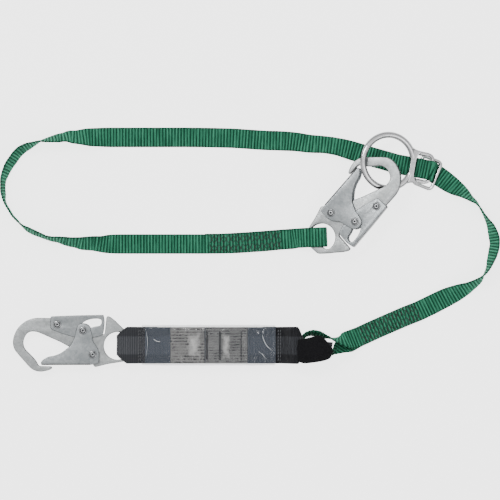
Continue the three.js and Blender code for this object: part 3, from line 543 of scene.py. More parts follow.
# ------------------------------------------------------------------ strap: cords first
ST = json.loads("""[[-27.2,10.13,0.95,-0.011,1,0],[-22.76,10.16,0.95,-0.004,1,0],[-18.36,10.18,0.95,-0.006,1,0],[-13.88,10.23,0.95,-0.015,1,0],[-9.2,10.33,0.95,-0.031,1,0],[-4.66,10.49,0.95,-0.041,0.999,0],[0.03,10.7,0.95,-0.049,0.999,0],[4.84,10.95,0.95,-0.054,0.999,0],[9.77,11.23,0.95,-0.058,0.998,0],[14.8,11.53,0.95,-0.06,0.998,0],[19.65,11.83,0.95,-0.065,0.998,0],[24.68,12.17,0.95,-0.068,0.998,0],[29.8,12.53,0.95,-0.071,0.997,0],[34.93,12.9,0.95,-0.073,0.997,0],[39.96,13.27,0.95,-0.074,0.997,0],[44.8,13.63,0.95,-0.074,0.997,0],[49.83,14.02,0.95,-0.079,0.997,0],[54.76,14.42,0.95,-0.081,0.997,0],[59.58,14.81,0.95,-0.081,0.997,0],[64.26,15.18,0.95,-0.078,0.997,0],[68.8,15.53,0.95,-0.073,0.997,0],[73.52,15.87,0.95,-0.071,0.998,0],[78.06,16.18,0.95,-0.067,0.998,0],[82.48,16.47,0.95,-0.063,0.998,0],[86.8,16.73,0.95,-0.057,0.998,0],[92.06,17,0.94,-0.048,0.999,0],[97.16,17.24,0.94,-0.043,0.999,0],[101.8,17.43,0.95,-0.041,0.999,0],[106.32,17.6,1.02,-0.034,0.999,0],[110.3,17.73,1.5,-0.035,0.999,0.001],[116.1,17.93,4.2,-0.039,0.999,0.001],[118.3,18.03,8.2,-0.04,0.999,-0.001],[118.4,18.03,12.6,-0.041,0.999,0.005],[116.8,17.93,16.6,-0.039,0.999,-0.001],[113.3,17.83,18.3,-0.037,0.999,0],[108.8,17.63,17.2,-0.039,0.999,0],[102.8,17.43,15.6,-0.034,0.999,0.002],[96.8,17.23,14.1,-0.032,0.999,0.002],[93.4,17.13,13,-0.045,0.999,-0.002],[88.8,16.83,10.2,-0.06,0.998,-0.013],[83.3,16.43,6.4,-0.107,0.993,-0.046],[78.4,15.43,3.1,-0.124,0.992,-0.016],[73.94,15.04,2.61,-0.065,0.998,0],[68.43,14.71,2.86,-0.058,0.998,-0.001],[62.8,14.33,3.1,-0.085,0.996,0],[58.39,13.91,3.1,-0.102,0.995,0],[53.88,13.43,3.1,-0.107,0.994,0],[49.33,12.95,3.1,-0.101,0.995,0],[44.8,12.53,3.1,-0.083,0.997,0],[40.3,12.19,3.1,-0.07,0.998,0],[35.8,11.89,3.1,-0.062,0.998,0],[31.3,11.62,3.1,-0.061,0.998,0],[26.8,11.33,3.1,-0.067,0.998,0],[22.46,11.01,3.1,-0.077,0.997,0],[18.22,10.69,3.1,-0.074,0.997,0],[13.78,10.38,3.1,-0.061,0.998,0],[8.8,10.13,3.1,-0.041,0.999,0],[4.57,9.98,3.12,-0.029,1,0],[-0.19,9.87,3.16,-0.021,1,0],[-5.29,9.77,3.21,-0.016,1,0],[-10.57,9.7,3.25,-0.012,1,0],[-15.82,9.64,3.28,-0.01,1,0],[-20.86,9.6,3.27,-0.008,1,0],[-25.52,9.56,3.21,-0.007,1,0],[-29.6,9.53,3.1,-0.008,1,0],[-35.22,9.51,2.74,0,1,0.001],[-40.07,9.52,2.27,0.003,1,0.001],[-45.2,9.53,1.85,0,1,0],[-50.25,9.53,1.56,0,1,0],[-55.51,9.53,1.31,0,1,0],[-61.01,9.53,1.1,0,1,0],[-66.8,9.53,0.95,0,1,0],[-71.82,9.53,0.94,0,1,0],[-77.12,9.53,0.94,0,1,0],[-82.59,9.53,0.94,0,1,0],[-88.16,9.53,0.94,0,1,0],[-93.73,9.53,0.94,0,1,0],[-99.2,9.53,0.95,0,1,0],[-104.75,9.53,1.22,0.001,1,0.023],[-110.49,9.53,1.5,0.001,0.999,0.046],[-116.23,9.53,1.77,0.003,0.998,0.07],[-121.78,9.53,2.05,0.006,0.996,0.093],[-126.96,9.53,2.31,0.01,0.993,0.115],[-131.6,9.53,2.61,0.019,0.99,0.137],[-137.03,9.53,3.61,0.05,0.973,0.225],[-141.79,9.53,4.8,0.084,0.947,0.31],[-146,9.53,5.94,0.103,0.911,0.398],[-153.2,9.53,7.99,0.147,0.798,0.584],[-160.4,10.13,8.75,0.095,0.741,0.665],[-165.02,10.21,9.1,0.048,0.711,0.702],[-170.19,10.2,9.45,0.055,0.677,0.734],[-174.8,10.33,9.82,0.118,0.639,0.76],[-182,11.23,10.7,0.131,0.52,0.844],[-189.2,11.93,11.07,0.108,0.459,0.882],[-196.4,13.33,11.38,0.125,0.39,0.912],[-203.6,14.83,11.79,0.081,0.284,0.956],[-210.8,15.53,11.94,0.054,0.219,0.974],[-218,17.33,12.02,0.057,0.164,0.985],[-221.61,18.76,12.01,0.069,0.178,0.982],[-225.2,20.33,11.97,0.073,0.195,0.978],[-228.81,21.8,11.94,0.076,0.212,0.974],[-232.4,23.33,11.91,0.099,0.221,0.97],[-236.02,25.03,11.92,0.106,0.207,0.972],[-239.6,26.93,11.94,0.121,0.19,0.974],[-243.27,29.17,12.04,0.097,0.113,0.989],[-246.8,31.73,12.08,0.049,0.05,0.998],[-250.21,34.94,12.08,0.021,0.029,0.999],[-253.4,38.33,12.05,-0.001,0.001,1],[-256.24,41.31,12.05,0,0,1],[-258.8,44.33,12.05,0,0,1],[-262.4,50.33,12.05,0,0,1],[-266,56.33,12.05,0.001,-0.002,1],[-268.4,62.33,12.07,-0.034,-0.009,0.999],[-269.2,68.33,12.06,-0.139,-0.014,0.99],[-270,74.33,12.02,-0.173,-0.009,0.985],[-270,80.33,12.02,-0.173,0.012,0.985],[-269.6,86.33,11.94,-0.218,0.058,0.974],[-267.8,92.33,11.79,-0.268,0.119,0.956],[-265.4,98.33,11.63,-0.302,0.162,0.939],[-262.4,104.33,11.45,-0.327,0.215,0.92],[-258.2,110.33,11.38,-0.331,0.237,0.914],[-254,116.33,11.38,-0.314,0.258,0.914],[-251.21,119.45,11.41,-0.288,0.273,0.918],[-248,122.33,11.45,-0.251,0.3,0.92],[-243.9,124.93,11.6,-0.194,0.291,0.937],[-239.6,127.13,11.74,-0.167,0.263,0.95],[-235.98,128.71,11.92,-0.125,0.192,0.973],[-232.4,130.13,12.06,-0.073,0.12,0.99],[-228.82,131.74,12.09,-0.021,0.048,0.999],[-225.2,133.13,12.07,0.015,-0.032,0.999],[-218,134.33,11.97,0.063,-0.2,0.978],[-210.8,135.53,11.63,0.109,-0.329,0.938],[-203.6,136.73,11.15,0.114,-0.442,0.89],[-196.4,137.93,10.98,0.133,-0.475,0.87],[-189.2,138.33,9.82,0.088,-0.645,0.759],[-182,137.93,9.31,0.07,-0.7,0.711],[-174.8,137.93,7.99,0.135,-0.806,0.576],[-167.6,137.93,5.94,0.084,-0.91,0.407],[-163.17,137.93,5.26,0.044,-0.93,0.364],[-158.18,137.93,4.71,0.035,-0.95,0.311],[-153.2,137.93,4.03,0.044,-0.967,0.252],[-148.7,137.93,3,0.043,-0.986,0.163],[-144.21,137.93,1.91,0.019,-0.996,0.083],[-138.8,137.93,0.95,0,-1,0],[-134.87,137.93,0.94,0,-1,0],[-130.43,137.93,0.94,0,-1,0],[-125.56,137.93,0.94,0,-1,0],[-120.37,137.93,0.94,0,-1,0],[-114.96,137.93,0.94,0,-1,0],[-109.44,137.93,0.94,0,-1,0],[-103.91,137.93,0.94,0,-1,0],[-98.46,137.93,0.94,0,-1,0],[-93.2,137.93,0.95,0,-1,0],[-88.42,137.93,0.95,0.001,-1,0],[-83.57,137.94,0.95,0.002,-1,0],[-78.67,137.95,0.95,0.002,-1,0],[-73.76,137.97,0.95,0.002,-1,0],[-68.85,137.98,0.95,0.002,-1,0],[-63.96,137.98,0.95,0.001,-1,0],[-59.13,137.98,0.95,-0.001,-1,0],[-54.38,137.98,0.95,-0.003,-1,0],[-49.73,137.96,0.95,-0.005,-1,0],[-45.2,137.93,0.95,-0.008,-1,0],[-39.68,137.88,0.95,-0.011,-1,0],[-34.18,137.81,0.95,-0.014,-1,0],[-28.76,137.73,0.95,-0.016,-1,0],[-23.49,137.64,0.95,-0.018,-1,0],[-18.43,137.54,0.95,-0.02,-1,0],[-13.65,137.44,0.95,-0.023,-1,0],[-9.2,137.33,0.95,-0.025,-1,0],[-4.26,137.2,0.95,-0.027,-1,0],[0.19,137.08,0.95,-0.032,-1,0],[4.45,136.93,0.95,-0.04,-0.999,0],[8.8,136.73,0.95,-0.05,-0.999,0],[13.3,136.47,0.95,-0.063,-0.998,0],[17.8,136.17,0.95,-0.071,-0.998,0],[22.3,135.84,0.95,-0.072,-0.997,0],[26.8,135.53,0.95,-0.067,-0.998,0],[31.3,135.22,0.95,-0.072,-0.997,0],[35.8,134.89,0.95,-0.071,-0.998,0],[40.3,134.59,0.95,-0.063,-0.998,0],[44.8,134.33,0.95,-0.05,-0.999,0],[49.3,134.15,0.95,-0.031,-1,0],[53.81,134.03,0.95,-0.025,-1,-0.001],[58.31,133.91,0.94,-0.031,-1,0],[62.8,133.73,0.95,-0.049,-0.999,0],[67.31,133.5,1.7,-0.064,-0.996,0.065],[71.81,133.24,2.45,-0.088,-0.988,0.128],[76.3,132.93,3.3,-0.112,-0.975,0.19],[80.8,132.53,4.03,-0.128,-0.958,0.255],[85.3,131.99,4.49,-0.155,-0.946,0.284],[89.79,131.33,4.83,-0.161,-0.936,0.314],[94.29,130.67,5.1,-0.148,-0.927,0.343],[98.8,130.13,5.38,-0.117,-0.92,0.373],[103.33,129.78,5.71,-0.084,-0.913,0.399],[107.88,129.55,6.05,-0.073,-0.903,0.424],[112.39,129.31,6.33,-0.08,-0.891,0.447],[116.8,128.93,6.48,-0.105,-0.877,0.469],[122.08,128.26,6.48,-0.119,-0.883,0.454],[127.22,127.44,6.31,-0.135,-0.889,0.438],[132.4,126.43,5.94,-0.152,-0.895,0.419],[136.5,125.48,5.42,-0.172,-0.915,0.365],[140.59,124.4,4.72,-0.201,-0.929,0.312],[144.78,123.21,4.01,-0.23,-0.938,0.259],[149.2,121.93,3.43,-0.252,-0.946,0.206],[153.77,120.57,3.17,-0.276,-0.943,0.187],[158.62,119.06,2.93,-0.288,-0.943,0.167],[163.58,117.49,2.69,-0.293,-0.945,0.147],[168.5,115.95,2.44,-0.289,-0.949,0.126],[173.2,114.53,2.2,-0.277,-0.955,0.104],[178.27,113.07,2.03,-0.269,-0.959,0.091],[183.27,111.67,1.88,-0.264,-0.961,0.078],[188.04,110.35,1.74,-0.265,-0.962,0.065],[192.4,109.13,1.58,-0.271,-0.961,0.052],[197.84,107.5,1.29,-0.288,-0.957,0.029],[203.2,106.03,0.95,-0.23,-0.973,0],[209.09,104.83,0.95,-0.182,-0.983,-0.001],[215.41,103.71,0.94,-0.171,-0.985,0],[219.96,102.89,0.97,-0.196,-0.981,0.001],[222.11,102.43,1.5,-0.213,-0.977,0.006],[223.67,102.09,2.8,-0.236,-0.971,0.025],[224.95,101.82,4.6,-0.253,-0.967,0.042],[226.61,101.46,5.9,-0.227,-0.973,0.038],[229.15,100.91,6.4,-0.22,-0.975,0.031],[233.16,100.05,8.4,-0.21,-0.978,-0.001],[237.56,99.1,11.5,-0.201,-0.979,-0.016],[240.88,98.39,13.1,-0.207,-0.978,-0.009],[244.4,97.63,13.4,-0.38,-0.925,0.023],[246.32,96.37,12.7,-0.395,-0.896,0.205],[247.11,95.84,11,-0.219,-0.967,0.134],[247.82,95.38,7.4,-0.271,-0.96,0.065],[248.41,94.99,3.9,-0.391,-0.918,0.058],[249.24,94.44,1.8,-0.487,-0.869,0.088],[252.25,92.46,1.16,-0.55,-0.835,0.019],[255.25,90.47,1.2,-0.568,-0.823,-0.022],[258.48,88.14,1.91,-0.607,-0.791,0.084],[262.76,85,3.49,-0.631,-0.747,0.21],[267.37,81.64,5.29,-0.634,-0.695,0.34],[271.6,78.63,6.83,-0.601,-0.646,0.471],[275.8,75.85,8.19,-0.559,-0.581,0.591],[279.83,73.28,9.41,-0.518,-0.49,0.702],[283.6,70.73,10.4,-0.461,-0.384,0.8],[287.94,67.38,11.23,-0.366,-0.282,0.887],[292,64.13,11.74,-0.249,-0.2,0.948],[295.8,61.47,11.97,-0.149,-0.169,0.974],[299.2,58.73,12.06,-0.113,-0.084,0.99],[303.4,52.73,12.07,-0.029,-0.019,0.999],[305.52,49.18,12.06,-0.013,-0.012,1],[307.6,45.53,12.05,0,0,1],[309.7,41.93,12.08,0.049,0.038,0.998],[311.8,38.33,12.07,0.114,0.046,0.992],[314.01,34.75,11.94,0.205,0.078,0.976],[316,31.13,11.74,0.301,0.085,0.95],[317.33,27.56,11.52,0.367,0.055,0.929],[318.4,23.93,11.31,0.418,0.079,0.905],[320.2,16.73,11.07,0.464,0.073,0.883],[320.8,9.53,11.23,0.438,-0.008,0.899],[319.6,2.33,11.23,0.432,-0.077,0.899],[317.8,-4.87,11.45,0.385,-0.076,0.92],[316.64,-8.48,11.62,0.338,-0.069,0.939],[315.4,-12.07,11.79,0.29,-0.056,0.955],[314.3,-15.69,11.95,0.218,-0.027,0.976],[313,-19.27,12.06,0.134,-0.042,0.99],[311.11,-22.9,12.09,0.059,-0.037,0.998],[308.8,-26.47,12.05,-0.009,-0.013,1],[305.82,-30.46,12.03,-0.136,0.076,0.988],[302.2,-34.27,11.74,-0.243,0.199,0.95],[298.72,-36.92,11.5,-0.261,0.287,0.922],[294.8,-39.38,11.18,-0.296,0.358,0.885],[290.8,-41.67,10.7,-0.355,0.412,0.839],[286.92,-43.69,10.04,-0.391,0.503,0.771],[282.97,-45.54,9.23,-0.419,0.587,0.693],[278.8,-47.47,8.3,-0.449,0.655,0.608],[274.81,-49.33,7.28,-0.471,0.713,0.52],[270.62,-51.25,6.11,-0.472,0.768,0.432],[266.31,-53.23,4.98,-0.465,0.816,0.343],[262,-55.27,4.03,-0.457,0.853,0.252],[257.52,-57.48,3.3,-0.461,0.867,0.191],[252.97,-59.77,2.74,-0.459,0.879,0.128],[248.43,-62.07,2.35,-0.452,0.89,0.064],[244,-64.27,2.15,-0.438,0.899,0],[238.69,-66.87,2.31,-0.438,0.899,0.001],[233.48,-69.37,2.76,-0.425,0.905,0.001],[228.4,-71.67,3.1,-0.398,0.918,0],[223.99,-73.47,3.16,-0.362,0.932,0],[219.68,-75.11,3.13,-0.355,0.935,0],[215.2,-76.87,3.1,-0.38,0.925,0],[211.12,-78.58,3.1,-0.391,0.921,0],[206.88,-80.39,3.1,-0.396,0.918,0],[202.6,-82.25,3.1,-0.398,0.917,0],[198.4,-84.07,3.1,-0.397,0.918,0],[193.08,-86.37,3.1,-0.398,0.917,0],[187.82,-88.66,3.1,-0.401,0.916,0],[182.8,-90.87,3.1,-0.405,0.914,0],[178.63,-92.73,3.1,-0.408,0.913,0],[174.64,-94.52,3.1,-0.412,0.911,0],[170.8,-96.27,3.1,-0.418,0.909,0],[165.85,-98.63,2.95,-0.434,0.901,-0.001],[161.2,-100.77,3.1,-0.389,0.921,-0.001],[157.46,-102.25,3.88,-0.364,0.929,-0.068],[154,-103.47,5.01,-0.358,0.925,-0.125],[148.6,-105.07,7.6,-0.343,0.898,-0.275],[143.2,-105.87,10.65,-0.333,0.787,-0.519],[138.4,-106.17,12.6,-0.2,0.589,-0.783],[133.6,-105.77,13.23,0.004,0.344,-0.939],[128.2,-104.87,12.98,0.056,0.094,-0.994],[122.8,-103.27,12.88,-0.067,-0.035,-0.997],[116.8,-101.67,13.67,-0.161,-0.165,-0.973],[110.8,-99.07,14.14,-0.132,-0.282,-0.95],[106.7,-97.85,14.21,-0.076,-0.295,-0.953],[102.4,-97.27,14.24,-0.014,-0.309,-0.951],[97.99,-97.76,14.34,0.032,-0.258,-0.966],[94,-99.27,14.44,0.102,-0.202,-0.974],[91.22,-101.84,14.51,0.127,-0.119,-0.985],[89.2,-105.07,14.56,0.121,-0.07,-0.99],[87.5,-112.37,14.58,0.07,-0.001,-0.998],[87.91,-116.36,14.58,0.041,0.012,-0.999],[89.2,-120.07,14.56,0.014,0.01,-1],[94,-125.07,14.55,-0.007,0.004,-1],[97.38,-126.46,14.53,-0.008,0.002,-1],[101.2,-127.17,14.45,-0.038,0.005,-0.999],[105.96,-127.34,14.2,-0.064,-0.002,-0.998],[110.8,-126.87,13.85,-0.076,-0.012,-0.997],[115.1,-125.86,13.47,-0.091,-0.018,-0.996],[119.2,-124.47,13.06,-0.09,-0.014,-0.996],[122.9,-122.96,12.75,-0.104,0.039,-0.994],[126.4,-121.27,12.36,-0.178,0.066,-0.982],[132.4,-117.67,11.15,-0.45,0.268,-0.851],[137.2,-114.47,8.89,-0.652,0.491,-0.577],[142,-111.47,5.57,-0.632,0.711,-0.308],[146.8,-108.57,2.82,-0.549,0.824,-0.138],[151.6,-105.77,1.37,-0.494,0.869,-0.034],[154.98,-103.89,1.14,-0.481,0.877,-0.017],[158.8,-101.87,0.95,-0.45,0.893,0],[162.56,-100.05,0.94,-0.425,0.905,0],[166.68,-98.15,0.94,-0.415,0.91,0],[170.8,-96.27,0.95,-0.417,0.909,0],[174.74,-94.48,0.95,-0.412,0.911,0],[178.68,-92.7,0.95,-0.408,0.913,0],[182.8,-90.87,0.95,-0.405,0.914,0],[187.82,-88.66,0.95,-0.401,0.916,0],[193.08,-86.37,0.95,-0.398,0.917,0],[198.4,-84.07,0.95,-0.397,0.918,0],[202.64,-82.23,0.95,-0.399,0.917,0],[206.98,-80.35,0.95,-0.397,0.918,0],[211.24,-78.52,0.95,-0.39,0.921,0],[215.2,-76.87,0.95,-0.378,0.926,0],[220.74,-74.69,0.95,-0.358,0.934,0],[226,-72.67,0.95,-0.362,0.932,0]]""")
SP = np.array([r[:3] for r in ST]); SW = np.array([r[3:] for r in ST])
acc = np.concatenate([[0], np.cumsum(np.linalg.norm(np.diff(SP, axis=0), axis=1))])
SLEN = float(acc[-1])
P4 = np.array(catmull(SP, 8)); W4 = np.array(catmull(SW, 8))
acc4 = np.concatenate([[0], np.cumsum(np.linalg.norm(np.diff(P4, axis=0), axis=1))])
SLEN = float(acc4[-1])


def strap_at(s):
    p = np.array([np.interp(s, acc4, P4[:, k]) for k in range(3)])
    w = np.array([np.interp(s, acc4, W4[:, k]) for k in range(3)])
    e = 0.6
    a = np.array([np.interp(max(0, s - e), acc4, P4[:, k]) for k in range(3)])
    b = np.array([np.interp(min(SLEN, s + e), acc4, P4[:, k]) for k in range(3)])
    t = (b - a) / np.linalg.norm(b - a)
    w = w - t * w.dot(t)
    w /= np.linalg.norm(w)
    return p, t, w, np.cross(w, t)


SW_W, SW_T = 23.6, 1.7


def ribbon(name, s0, s1, mat, width=SW_W, thick=SW_T, step=0.617, rib=0.30, pitch=3.7, cols=15):
    """woven ribbon: rounded selvedges and cross ribs as geometry"""
    n = int((s1 - s0) / step)
    sec = []
    hw, ht = width / 2, thick / 2
    for k in range(cols):
        v = -1 + 2 * k / (cols - 1)
        e = max(0.0, (abs(v) - 0.90) / 0.10)
        h = ht * (1 - 0.55 * e ** 2) * (1 + 0.05 * math.cos(9 * math.pi * v))
        sec.append((v * hw, h, 1 - e))
    loop = sec + [(x, -h, f) for x, h, f in sec[::-1]]
    m = len(loop)
    S = np.linspace(s0, s1, n + 1)
    verts, uv, faces, path = [], [], [], []
    for s in S:
        p, t, w, nn = strap_at(s)
        r = math.cos(2 * math.pi * s / pitch)
        edge = 1 + 0.006 * math.cos(2 * math.pi * s / pitch + 1.2)
        path.append(p * MM)
        for x, h, f in loop:
            hh = h + math.copysign(rib * (r - 1) * 0.5, h) * (0.35 + 0.65 * f)
            q = p + w * x * edge + nn * hh
            q[2] = max(q[2], 0.03)
            verts.append(q * MM)
            uv.append((s, x if h > 0 else x + 60))
    for i in range(n):
        for k in range(m):
            l = (k + 1) % m
            faces.append((i * m + k, (i + 1) * m + k, (i + 1) * m + l, i * m + l))
    faces.append(tuple(range(m)))
    faces.append(tuple(n * m + k for k in range(m))[::-1])
    o = obj_from(name, verts, faces, mat, uv=uv)
    fix_normals(o)
    return o, path


def nearest_s(x, y, lo=0.0, hi=1e9, z=None):
    d = (P4[:, 0] - x) ** 2 + (P4[:, 1] - y) ** 2
    if z is not None:
        d = d + (P4[:, 2] - z) ** 2
    d = np.where((acc4 >= lo) & (acc4 <= hi), d, 1e12)
    return float(acc4[int(np.argmin(d))])


S_FOLD = nearest_s(91.6 + OX, 15.7 + OY, 0, 260, 11)
S_TURN = nearest_s(60.7 + OX, -114.7 + OY, 1300)
strap, spath = ribbon("strap_webbing", S_FOLD, S_TURN, GREEN)
tail_a, _ = ribbon("strap_tail_hook_end", 0, S_FOLD, GREEN)
tail_b, _ = ribbon("strap_tail_pack_end", S_TURN, SLEN, GREEN)
for o in (strap, tail_a, tail_b):
    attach(o, "root")
    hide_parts("lanyard_strap")


def stitch_run(name, s0, s1, lines, amp, period, mat, lift=1.05, r=0.33, sgn=1):
    """zig-zag lock stitching following the strap's top face"""
    parts = []
    for k, (w0, ph) in enumerate(lines):
        pts = []
        n = int((s1 - s0) / (period / 8))
        for i in range(n + 1):
            s = s0 + (s1 - s0) * i / n
            q = ((s - s0) / period + ph) % 1.0
            z = abs(q * 2 - 1) * 2 - 1
            p, t, w, nn = strap_at(s)
            up = nn * sgn
            pts.append(p + w * (w0 + amp * z) + up * (lift - 0.12 * abs(z)))
        parts.append(tube(name + str(k), pts, r, mat, 6))
    o = join(name, parts)
    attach(o, "root")
    return o


def up_sign(s):
    return 1 if strap_at(s)[3][2] > 0 else -1


sa0, sa1 = nearest_s(37 + OX, 13 + OY, S_FOLD, S_FOLD + 120, 3.1), nearest_s(-49.0 + OX, 8 + OY, S_FOLD, S_FOLD + 250, 3.1)
LINES = [(-5.5, 0.0), (-5.5, 0.5), (5.5, 0.0), (5.5, 0.5)]
LINES = [(w, p) for w, p in LINES]
stitch_run("stitching_hook_end", sa0, sa1, LINES, 5.0, 11.5, THREAD_DK, r=0.43, lift=1.2, sgn=up_sign(sa0 + 5))
sb0 = nearest_s((419 - 250) * 1.2 + OX, (250 - 311) * 1.2 + OY, 900, S_TURN)
sb1 = nearest_s((361 - 250) * 1.2 + OX, (250 - 336.5) * 1.2 + OY, 900, S_TURN)
stitch_run("stitching_pack_end", sb0, sb1, LINES, 5.0, 11.5, THREAD_DK, r=0.43, lift=1.2, sgn=up_sign(sb0 + 5))

# ------------------------------------------------------------------ snap hooks
BODY = [[-25.2, 29.8], [-34.3, 30.1], [-43.4, 30.1], [-49.9, 28.8], [-55.2, 26.6], [-60.4, 22.9],
  [-64.9, 18.5], [-68.2, 13.2], [-70.6, 6.7], [-71.4, 0.8], [-70.8, -4.3], [-68.9, -8.9],
  [-65.6, -12.8], [-62.3, -16.7], [-56.5, -23.2], [-52.0, -28.4], [-47.4, -32.3], [-42.1, -34.3],
  [-37.0, -34.7], [-30.5, -33.6], [-25.2, -31.7], [-24.0, -29.8], [-24.6, -28.3], [-38.4, -28.0],
  [-40.9, -26.5], [-42.8, -22.0], [-46.1, -18.0], [-51.2, -12.8], [-56.5, -7.6], [-58.4, -3.0],
  [-58.8, 1.6], [-57.1, 7.3], [-53.9, 11.9], [-48.7, 13.9], [-42.1, 13.2], [-34.3, 10.0],
  [-24.0, 5.4], [-13.6, 0.8], [-4.4, -4.3], [9.6, -12.0], [14.4, -18.0], [19.2, -22.0],
  [24.0, -23.3], [25.4, -27.1], [27.5, -29.3], [34.6, -27.4], [43.8, -25.2], [51.5, -24.1],
  [60.6, -22.6], [62.4, -22.2], [72.6, -8.4], [72.6, 6.0], [63.2, 15.8], [58.0, 20.4],
  [51.5, 26.9], [45.0, 31.8], [42.4, 32.0], [41.2, 31.2], [39.0, 10.2], [9.0, 10.2], [7.2, 23.4],
  [-24.6, 28.8]]
EYE = [[60.6, 11.0], [58.7, 12.7], [54.0, 13.2], [49.4, 12.4], [45.2, 10.3], [41.7, 7.2], [39.3, 3.2],
  [38.0, -1.3], [38.0, -5.9], [39.3, -10.4], [41.7, -14.4], [45.2, -17.5], [49.4, -19.6],
  [54.0, -20.4], [58.7, -19.9], [60.6, -18.2], [62.4, -16.2], [62.4, 9.0]]
GATE = [[-37.2, -26.5], [-37.6, -23.2], [-35.0, -19.9], [-29.2, -16.7], [-21.4, -15.4], [-13.6, -12.1],
  [-8.3, -8.3], [-1.8, -3.0], [3.4, 7.3], [4.7, 13.9], [6.6, 20.4], [9.1, 22.6], [12.5, 23.6],
  [17.6, 22.9], [21.6, 19.7], [24.2, 8.6], [25.4, 0.8], [30.7, -5.6], [32.6, -13.4],
  [32.0, -24.5], [22.8, -26.3]]
LOCK = [[-25.2, 32.0], [4.7, 33.1], [37.6, 33.7], [38.9, 25.6], [38.3, 17.8], [37.2, 11.3],
  [35.9, 9.4], [31.3, 7.7], [26.2, 6.7], [1.4, 7.3], [-13.6, 11.9], [-25.9, 16.7], [-25.9, 31.0]]
WIN = [[11.9, 24.0], [17.6, 27.5], [24.2, 29.2], [30.7, 29.5], [34.9, 28.0], [35.9, 24.2],
  [35.3, 21.0], [30.7, 19.7], [23.5, 18.8]]
LOCK_WEB = [[-24.0, 32.0], [4.7, 33.1], [37.6, 33.7], [37.8, 32.0], [4.7, 31.4], [-24.0, 30.6]]
LOCK_PIVOT = (-17.8, 22.3); LATCH_PIN = (13.1, 15.1); GATE_PIVOT = (24.8, -13.8)
D = math.pi / 180
HOOKS = {
    "pack_hook": Matrix.Translation(Vector((-213.6 + OX, -111.6 + OY, 8.8)) * MM),
    "strap_hook": Matrix.Translation(Vector((124.7 + OX, 53.6 + OY, 20.5)) * MM)
    @ Matrix.Rotation(-131.05 * D, 4, "Z") @ Matrix.Rotation(7.5 * D, 4, "Y") @ Matrix.Rotation(12 * D, 4, "X"),
}


def circle(c, r, n=28):
    return [(c[0] + r * math.cos(2 * math.pi * i / n), c[1] + r * math.sin(2 * math.pi * i / n)) for i in range(n)]


def slot_outline():
    """lock window joined with the path that the latch rivet takes through the lever, as one smooth hole"""
    C = []
    for a in range(0, 26, 2):
        x, y = LATCH_PIN[0] - GATE_PIVOT[0], LATCH_PIN[1] - GATE_PIVOT[1]
        q = -a * D
        x, y = GATE_PIVOT[0] + x * math.cos(q) - y * math.sin(q), GATE_PIVOT[1] + x * math.sin(q) + y * math.cos(q)
        x, y, q = x - LOCK_PIVOT[0], y - LOCK_PIVOT[1], a * 0.45833 * D
        C.append((LOCK_PIVOT[0] + x * math.cos(q) - y * math.sin(q), LOCK_PIVOT[1] + x * math.sin(q) + y * math.cos(q)))
    r = 3.15
    t = math.atan2(C[1][1] - C[0][1], C[1][0] - C[0][0])
    P = [(C[0][0] + r * math.cos(t + f), C[0][1] + r * math.sin(t + f)) for f in (2.1, 2.5, 2.9, 3.3, 3.7, 4.1, 4.5)]
    for k in range(0, 7):
        dx, dy = C[k + 1][0] - C[k][0], C[k + 1][1] - C[k][1]
        L = math.hypot(dx, dy)
        P.append((C[k][0] + r * dy / L, C[k][1] - r * dx / L))
    return P + [(27.0, 19.6), (32.5, 20.4), (35.0, 22.5), (35.6, 25.5), (34.6, 28.3), (30.7, 29.2), (24.2, 28.9), (17.6, 27.2), (12.2, 23.9), (10.4, 19.4)]


